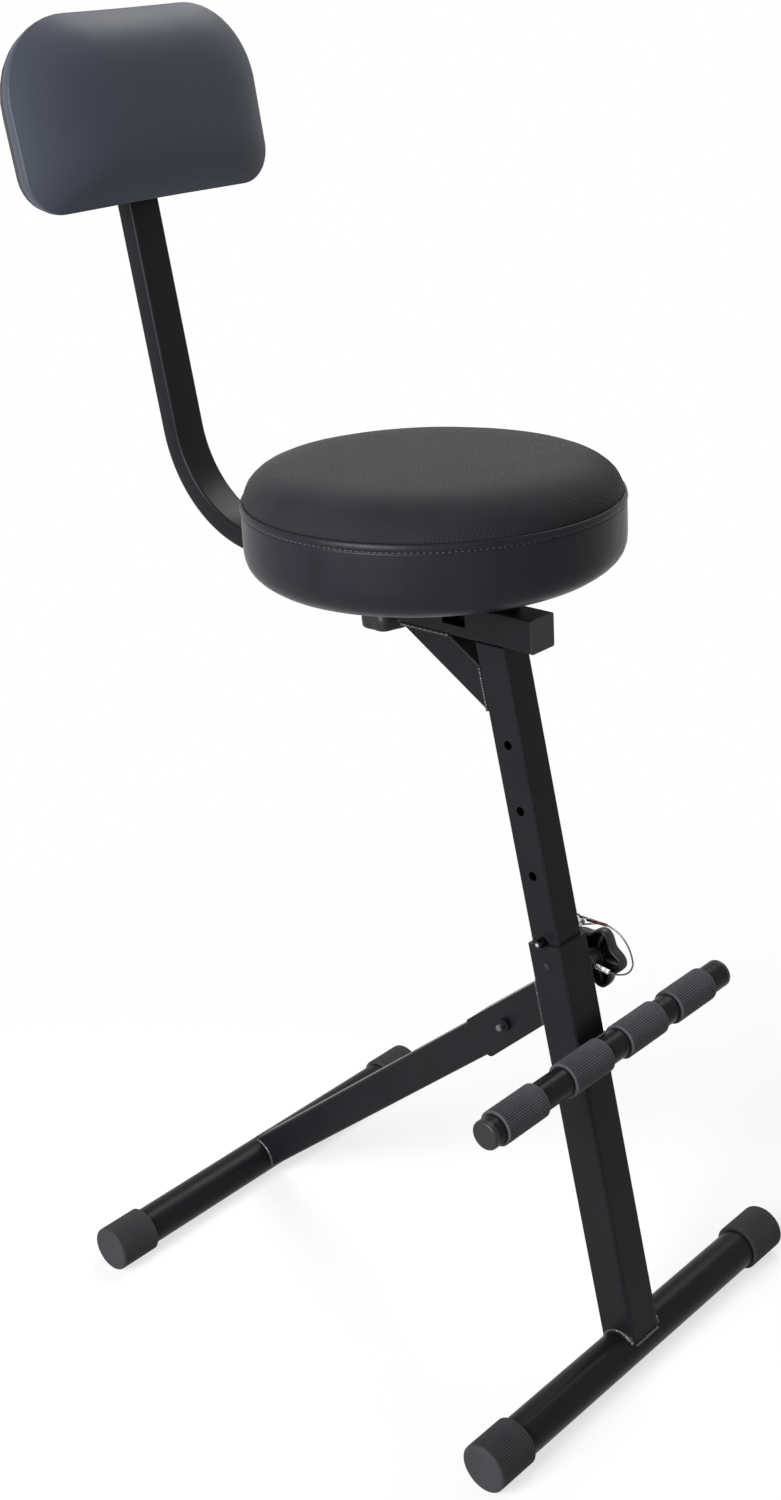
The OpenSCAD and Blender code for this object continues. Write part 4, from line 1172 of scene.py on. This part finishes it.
def seat_ring(radius, height, count):
    """A ring of the seat. Its soft part has settled a little lower on the right, as photographed."""
    ring = []
    for k in range(count):
        turn = 2 * math.pi * k / count
        x, y = radius * math.cos(turn), radius * math.sin(turn)
        sunk = SEAT_ROLL * x * max(0, height) / SEAT_BAND
        ring.append(seat_place @ Vector((x, y, height - sunk)))
    return ring


def seat_outwards(p):
    """The level direction from the seat's middle to a point."""
    centre = seat_place.translation
    return Vector((p.x - centre.x, p.y - centre.y, 0)).normalized()


class GIGCHAIR_OT_seat(bpy.types.Operator):
    """Make the seat's vinyl band, woven top, stitched seam and stapled border"""

    bl_idname = "gig_chair.seat"
    bl_label = "Seat"

    around = 240
    form_share = 0.985
    voxel = 6 * MM
    pucker = 0.12 * MM
    wander, wander_pace = 0.8, 40

    def band_profile(self):
        """Radius, height and share of the seam's pucker of each ring, from the staples to the rim."""
        low = band_radius(0)
        seam = sizes().seam_height
        groove = band_radius(seam) - sizes().seam_depth
        lip, roll = 0.9 * MM, 2.2 * MM
        pulled = 49 * MM
        heights = [h * MM for h in (0.8, 2, 4, 7, 11, 16, 21, 26, 31, 36, 41, 45, 48, 50.5, 52)]
        return [
            (low - SEAT_BORDER, -0.2 * MM, 0),
            (low - SEAT_BORDER, -COVER, 0),
            (low - 3 * MM, -COVER, 0),
            (low - 1 * MM, -0.8 * MM, 0),
            *[(band_radius(h), h, 0.3 if h > pulled else 0) for h in heights],
            (band_radius(seam - lip) + 0.1 * MM, seam - lip, 0.8),
            (groove, seam - 0.2 * MM, 1),
            (groove, seam + 0.2 * MM, 1),
            (band_radius(seam + lip) + 0.5 * MM, seam + lip, 0.8),
            (band_radius(seam + roll) + 0.9 * MM, seam + roll, 0.5),
            (RIM_RADIUS + 0.8 * MM, SEAT_EDGE - 2.4 * MM, 0.3),
            (RIM_RADIUS + 0.2 * MM, SEAT_EDGE - 0.6 * MM, 0),
            (RIM_RADIUS - 1.0 * MM, SEAT_EDGE, 0),
            (RIM_RADIUS - 2.2 * MM, SEAT_EDGE - 1.0 * MM, 0),
        ]

    def top_profile(self):
        """Radius and height of the cloth's rings, from where it is sewn in to the crown."""
        shares = (0.96, 0.94, 0.91, 0.88, 0.84, 0.79, 0.73, 0.66, 0.58, 0.49, 0.4, 0.3, 0.2, 0.1, 0.03)
        return [
            (RIM_RADIUS - 2.0 * MM, SEAT_EDGE - 1.2 * MM),
            (RIM_RADIUS - 1.8 * MM, SEAT_EDGE + 1.0 * MM),
            (RIM_RADIUS - 2.6 * MM, SEAT_EDGE + 4.6 * MM),
            (RIM_RADIUS - 4.2 * MM, SEAT_EDGE + 8.4 * MM),
            *[(s * RIM_RADIUS, crown_height(s * RIM_RADIUS)) for s in shares],
        ]

    def swollen(self, rings, tree):
        if tree is None:
            return rings
        return follow(rings, tree, seat_place @ Vector((0, 0, SEAT_BELLY)), sizes().swelling / 4)

    def foam_tree(self):
        """The foam under its cover, inflated from a slightly smaller form."""
        steps, sides = 12, 96
        centre = Vector((0, 0, SEAT_BELLY))
        heights = [SEAT_BAND * i / steps for i in range(steps + 1)]
        shape = [(band_radius(h), h) for h in heights]
        shape += [(s * RIM_RADIUS, crown_height(s * RIM_RADIUS)) for s in (0.96, 0.9, 0.8, 0.65, 0.45, 0.2)]
        rings = []
        for radius, height in shape:
            small = centre + (Vector((radius, 0, height)) - centre) * self.form_share
            rings.append(seat_ring(small.x, small.z, sides))
        board = seat_low + BOARD_TOP
        return puffed(*skin(rings), lambda p: p.z < board, self.voxel)

    def execute(self, context):
        tree = self.foam_tree()
        stitches = round(2 * math.pi * RIM_RADIUS / sizes().stitch)
        rows = self.band_profile()
        rings = self.swollen([seat_ring(r, h, self.around * 3) for r, h, _ in rows], tree)
        for ring, (_, _, share) in zip(rings, rows):
            for k, p in enumerate(ring):
                turn = 2 * math.pi * k / len(ring)
                uneven = noise.noise(Vector((self.wander_pace * turn, share, 0)))
                wave = math.cos(stitches * turn) + self.wander * uneven
                ring[k] = p - seat_outwards(p) * (self.pucker * share * wave)
        band = piece(
            "seat_band_vinyl",
            *skin(rings, start_cap=False, end_cap=False),
            finish(band_vinyl),
            body="seat_carriage",
            replaced=["seat_side_band", "seat_foam"],
            slot="black_vinyl",
        )
        top_rings = self.swollen([seat_ring(r, h, self.around) for r, h in self.top_profile()], tree)
        top = piece(
            "seat_top_cloth",
            *skin(top_rings, start_cap=False),
            finish(woven_cloth),
            body="seat_carriage",
            replaced=["seat_top_fabric"],
            slot="woven_fabric",
        )
        self.make_stitches(rings[self.seam_row()], stitches)
        return {"FINISHED"}

    def seam_row(self):
        heights = [h for _, h, _ in self.band_profile()]
        return min(range(len(heights)), key=lambda i: abs(heights[i] - sizes().seam_height))

    def make_stitches(self, seam, stitches):
        """Short lengths of thread along the seam, each end sunk into the vinyl."""
        thread = sizes().thread / 2
        steps, sides = 4, 6
        gap, share = 0.12, 0.76
        arch, sunk = 2.2, 0.6
        lift = Vector((0, 0, 0.2 * MM))
        count = len(seam)
        parts = []
        for i in range(stitches):
            path = []
            for step in range(steps + 1):
                t = step / steps
                place = (i + gap + share * t) / stitches * count
                p = seam[int(place) % count].lerp(seam[(int(place) + 1) % count], place % 1)
                path.append(p + seat_outwards(p) * (thread * (arch * math.sin(math.pi * t) - sunk)) + lift)
            parts.append(swept(path, thread, sides))
        made = joined(*parts)
        piece("seat_seam_thread", *made, finish(sewing_thread), body="seat_carriage", slot="black_vinyl")


# Places are up the bar from the corner of its bend; the pad is widest at the belly, at its full outline
PAD_LOW = 304 * MM
PAD_HEIGHT = 170 * MM
PAD_SHIFT = 1.5 * MM
PAD_HALF = 145.5 * MM
PAD_TOP_CORNER = 76 * MM
PAD_LOW_CORNER = 36 * MM
PAD_TAPER = 1 * MM
PAD_BELLY = 20 * MM
PAD_CROWN = 23 * MM
PAD_DRAW_SHARE = 0.055
PAD_SIDE_ANGLE = 4


def pad_outline(corner_steps, edge_steps):
    """The pad's outline in its own plane, counterclockwise from the middle of its lower edge."""
    low_x = PAD_HALF - PAD_TAPER

    def arc(cx, cy, radius, start, end):
        return [
            Vector((cx + radius * math.cos(math.radians(a)), cy + radius * math.sin(math.radians(a))))
            for a in (start + (end - start) * k / corner_steps for k in range(corner_steps + 1))
        ]

    low_arc = arc(low_x - PAD_LOW_CORNER, PAD_LOW_CORNER, PAD_LOW_CORNER, -90, -PAD_SIDE_ANGLE)
    top_arc = arc(PAD_HALF - PAD_TOP_CORNER, PAD_HEIGHT - PAD_TOP_CORNER, PAD_TOP_CORNER, -PAD_SIDE_ANGLE, 90)

    def between(a, b, steps):
        return [a.lerp(b, k / steps) for k in range(steps)]

    half = between(Vector((0, 0)), low_arc[0], edge_steps) + low_arc[:-1]
    half += between(low_arc[-1], top_arc[0], edge_steps) + top_arc[:-1]
    half += between(top_arc[-1], Vector((0, PAD_HEIGHT)), edge_steps)
    other = [Vector((-p.x, p.y)) for p in reversed(half[1:])]
    return half + [Vector((0, PAD_HEIGHT))] + other


def pad_ring(outline, share, depth):
    """One ring of the pad at a depth in front of the bar. The pad sits a little to the right on its bar."""
    centre = Vector((0, PAD_HEIGHT / 2))
    ring = []
    for p in outline:
        q = centre + share * (p - centre)
        ring.append(back_place @ Vector((q.x + PAD_SHIFT, -BAR_DEPTH / 2 - depth, PAD_LOW + q.y)))
    return ring


def pad_rows(shares):
    """Shares of the outline and depths, from the back edge over the belly to the crown."""
    steps = 8
    depths = [PAD_BELLY * i / steps for i in range(steps + 1)]
    rows = [(1 - PAD_DRAW_SHARE * (1 - depth / PAD_BELLY) ** 2, depth) for depth in depths]
    return rows + [(s, PAD_BELLY + PAD_CROWN * (1 - s**4)) for s in shares]


class GIGCHAIR_OT_back_pad(bpy.types.Operator):
    """Make the back pad's vinyl cover, with its border behind the board"""

    bl_idname = "gig_chair.back_pad"
    bl_label = "Back pad"

    voxel = 5 * MM
    form_share = 0.98
    border = 14 * MM
    skin_thick = 0.6 * MM
    core_depth = 8 * MM
    board_depth = 9 * MM

    def execute(self, context):
        outline = pad_outline(corner_steps=14, edge_steps=10)
        shares = [0.992, 0.98, 0.965, 0.945, 0.92, 0.89, 0.85, 0.8, 0.74, 0.66, 0.56, 0.45, 0.33, 0.2, 0.07]
        rings = [pad_ring(outline, share, depth) for share, depth in pad_rows(shares)]
        centre = back_place @ Vector((0, -BAR_DEPTH / 2 - self.core_depth, PAD_LOW + PAD_HEIGHT / 2))
        rings = follow(rings, self.foam_tree(centre), centre, sizes().swelling / 2)
        edge = 1 - PAD_DRAW_SHARE
        inner = edge - self.border / PAD_HALF
        lapped = edge - self.skin_thick / PAD_HALF
        behind = -self.skin_thick
        under = ((inner, 0), (inner, behind), (lapped, behind), (edge, 0))
        border = [pad_ring(outline, share, depth) for share, depth in under]
        pad = piece(
            "back_pad_vinyl",
            *skin([*border, *rings[1:]], start_cap=False),
            finish(pad_vinyl),
            body="backrest",
            replaced=["back_cover", "back_foam"],
            slot="black_vinyl",
        )
        return {"FINISHED"}

    def foam_tree(self, centre):
        """The pad's foam, inflated from a slightly smaller form."""
        outline = pad_outline(corner_steps=8, edge_steps=4)
        rings = []
        for share, depth in pad_rows([0.96, 0.9, 0.8, 0.65, 0.45, 0.2]):
            ring = pad_ring(outline, share, depth)
            rings.append([centre + (p - centre) * self.form_share for p in ring])
        board = back_place.inverted()
        held_depth = -BAR_DEPTH / 2 - self.board_depth
        return puffed(*skin(rings), lambda p: (board @ p).y > held_depth, self.voxel)


# Welds


def weld(name, place, path, body, radius_share=1.0):
    """A bead laid in small ripples along a path given in a frame's own millimetres."""
    ripple = 2.4 * MM
    step = 0.6 * MM
    sides = 10
    mean, crest, uneven = 0.82, 0.2, 0.22
    wander_pace = 400
    end_share = 0.6
    route = [place @ (Vector(p) * MM) for p in path]
    points, radii = [], []
    travelled = 0.0
    for a, b in zip(route, route[1:]):
        count = max(1, round((b - a).length / step))
        for k in range(count):
            points.append(a.lerp(b, k / count))
            travelled += (b - a).length / count
            wave = abs(math.sin(math.pi * travelled / ripple))
            wander = noise.noise(points[-1] * wander_pace)
            radii.append(sizes().bead * radius_share * (mean + crest * wave + uneven * wander))
    points.append(route[-1])
    radii.append(radii[-1] * end_share)
    radii[0] *= end_share
    bead = swept(points, radii, sides)
    return piece(name, *bead, finish(weld_coat), body=body, slot="black_powder_coat")


class GIGCHAIR_OT_welds(bpy.types.Operator):
    """Lay the weld beads where the tubes and brackets join"""

    bl_idname = "gig_chair.welds"
    bl_label = "Welds"

    # Millimetres, as in the beads' paths: sizes of the joined tubes, and a bead's usual distance off them
    tube_radius = 19
    post_half = 19
    post_flat = 17.5
    leg_half = 12.5
    leg_depth = 17.5
    off = 0.4

    def execute(self, context):
        self.at_front_foot()
        self.at_rear_foot()
        self.at_footrest()
        self.at_bracket()
        self.at_seat()
        return {"FINISHED"}

    def saddle(self, aside):
        """Height of a foot tube's surface over its axis, at a distance to one side."""
        return math.sqrt(self.tube_radius**2 - aside**2)

    def at_front_foot(self):
        """Along both sides of the post's saddle and across its front."""
        for hand, side in HANDS:
            path = []
            for back in range(-18, 17, 2):
                rise = self.saddle(back + POST_SETBACK / MM) + self.off
                path.append((side * (self.post_half + self.off), back, rise))
            weld(f"weld_front_foot_{hand}", post_place, path, "base", 1.1)
            weld(f"weld_front_foot_corner_{hand}", post_place, path[1:6], "base", 1.9)
        rise = self.saddle(self.post_flat)
        weld("weld_front_foot_face", post_place, [(-17, -19.3, rise), (17, -19.3, rise)], "base", 0.7)

    def at_rear_foot(self):
        """Along both sides of the leg's saddle and across its top."""
        reach = leg_length / MM
        for hand, side in HANDS:
            path = []
            for height in range(-16, 17, 2):
                path.append((side * (self.leg_half + self.off), reach - self.saddle(height), height))
            weld(f"weld_rear_foot_{hand}", leg_place, path, "rear_leg", 1.1)
        run = reach - self.saddle(self.leg_depth)
        top = self.leg_depth + 0.3
        weld("weld_rear_foot_top", leg_place, [(-11, run, top), (11, run, top)], "rear_leg", 0.9)

    def at_footrest(self):
        """Above and below the bar, in the notch between it and the post."""
        up = middle_up("footrest_bar")
        for name, sign in (("above", 1), ("below", -1)):
            path = [(x, -self.post_half - 1.8, up + sign * 8.2) for x in (-18, 18)]
            weld(f"weld_footrest_{name}", post_place, path, "base", 1.15)

    def on_post_points(self, node):
        """A node's points in the post's frame, in millimetres."""
        to_post = post_place.inverted()
        return [(to_post @ v.co) / MM for v in frame["nodes"][node].data.vertices]

    def at_bracket(self):
        """Down both cheeks of the hinge bracket and across its top, against the post's rear face."""
        near = [p for p in self.on_post_points("hinge_bracket") if p.y < self.post_half + 1]
        low, high = min(p.z for p in near), max(p.z for p in near)
        cheek = max(p.x for p in near)
        for hand, side in HANDS:
            path = [(side * (cheek + 0.3), self.post_half + 0.5, z) for z in (low + 1, high - 1)]
            weld(f"weld_bracket_{hand}", post_place, path, "base", 0.8)
        path = [(x, self.post_half + 0.6, high + 0.4) for x in (-cheek + 1, cheek - 1)]
        weld("weld_bracket_top", post_place, path, "base", 1.2)

    def at_seat(self):
        """Between the strut, the inner post, the beam and the receiver."""
        whole = Matrix.Identity(4)
        near = self.on_post_points("seat_strut")
        face = min(p.y for p in near)
        half = max(p.x for p in near)
        ends = [p.z for p in near if p.y < face + 0.5]
        for hand, side in HANDS:
            path = [(side * (half + 0.2), face + 0.5, z) for z in (min(ends) + 1, max(ends) - 1)]
            weld(f"weld_strut_post_{hand}", post_place, path, "seat_carriage", 0.75)
        beam_low, beam_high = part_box("seat_beam")
        under_beam = beam_low.z / MM
        strut = [v.co / MM for v in frame["nodes"]["seat_strut"].data.vertices]
        tops = [p.y for p in strut if p.z > under_beam - 0.5]
        for hand, side in HANDS:
            path = [(side * (half + 0.2), y, under_beam - 0.3) for y in (min(tops), max(tops))]
            weld(f"weld_strut_beam_{hand}", whole, path, "seat_carriage", 0.75)
        low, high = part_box("bar_receiver")
        front, rear = low.y / MM + 2, min(high.y, beam_high.y) / MM - 2
        for hand, side in HANDS:
            path = [(side * (beam_high.x / MM + self.off), y, low.z / MM - 0.2) for y in (front, rear)]
            weld(f"weld_receiver_{hand}", whole, path, "seat_carriage", 0.8)


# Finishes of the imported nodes


class GIGCHAIR_OT_steelwork(bpy.types.Operator):
    """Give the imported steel, plastic and wooden pieces their finishes"""

    bl_idname = "gig_chair.steelwork"
    bl_label = "Steelwork"

    coated = (
        "front_foot_tube outer_post clamp_weld_nut footrest_bar hinge_bracket pivot_lock_nut rear_leg "
        "rear_foot_tube inner_post seat_beam seat_strut bar_receiver receiver_nut seat_plate"
    ).split()
    moulded = (
        "guide_bushing footrest_plug_left footrest_plug_right pivot_washers inner_post_plug beam_plug "
        "bar_plug_top bar_plug_inner"
    ).split()
    plated = "seat_screws seat_tee_nuts height_knob_stud back_screws back_tee_nuts backrest_knob_stud".split()
    wooden = "seat_board back_board".split()

    def execute(self, context):
        coat(self.coated, powder_coat)
        coat(self.moulded, moulded_plastic)
        coat(self.plated, zinc_plated)
        coat(["lock_pin"], pin_steel)
        coat(["pivot_bolt"], threaded_steel)
        coat(self.wooden, stained_plywood)
        return {"FINISHED"}


OPERATORS = (
    GIGCHAIR_OT_camera,
    GIGCHAIR_OT_lanyard,
    GIGCHAIR_OT_stage,
    GIGCHAIR_OT_steelwork,
    GIGCHAIR_OT_foot_caps,
    GIGCHAIR_OT_sleeves,
    GIGCHAIR_OT_knobs,
    GIGCHAIR_OT_backrest_bar,
    GIGCHAIR_OT_seat,
    GIGCHAIR_OT_back_pad,
    GIGCHAIR_OT_welds,
)


class GIGCHAIR_PT_panel(bpy.types.Panel):
    """Lists the chair's pieces and the values that a user would change"""

    bl_idname = "GIGCHAIR_PT_panel"
    bl_label = "Gig Chair"
    bl_space_type = "VIEW_3D"
    bl_region_type = "UI"
    bl_category = "Gig Chair"

    def draw(self, context):
        for operator in OPERATORS:
            self.layout.operator(operator.bl_idname)
        for group in (context.scene.gig_chair_sizes, context.scene.gig_chair_colours):
            for key in group.__annotations__:
                self.layout.prop(group, key)


CLASSES = (GigChairSizes, GigChairColours, *OPERATORS, GIGCHAIR_PT_panel)


def register():
    for cls in CLASSES:
        bpy.utils.register_class(cls)
    bpy.types.Scene.gig_chair_sizes = PointerProperty(type=GigChairSizes)
    bpy.types.Scene.gig_chair_colours = PointerProperty(type=GigChairColours)


def unregister():
    del bpy.types.Scene.gig_chair_colours
    del bpy.types.Scene.gig_chair_sizes
    for cls in reversed(CLASSES):
        bpy.utils.unregister_class(cls)


def main():
    register()
    bpy.ops.gig_chair.camera()
    bpy.ops.gig_chair.lanyard()
    bpy.ops.gig_chair.stage()
    bpy.ops.gig_chair.steelwork()
    bpy.ops.gig_chair.foot_caps()
    bpy.ops.gig_chair.sleeves()
    bpy.ops.gig_chair.knobs()
    bpy.ops.gig_chair.backrest_bar()
    bpy.ops.gig_chair.seat()
    bpy.ops.gig_chair.back_pad()
    bpy.ops.gig_chair.welds()


if __name__ == "__main__":
    main()
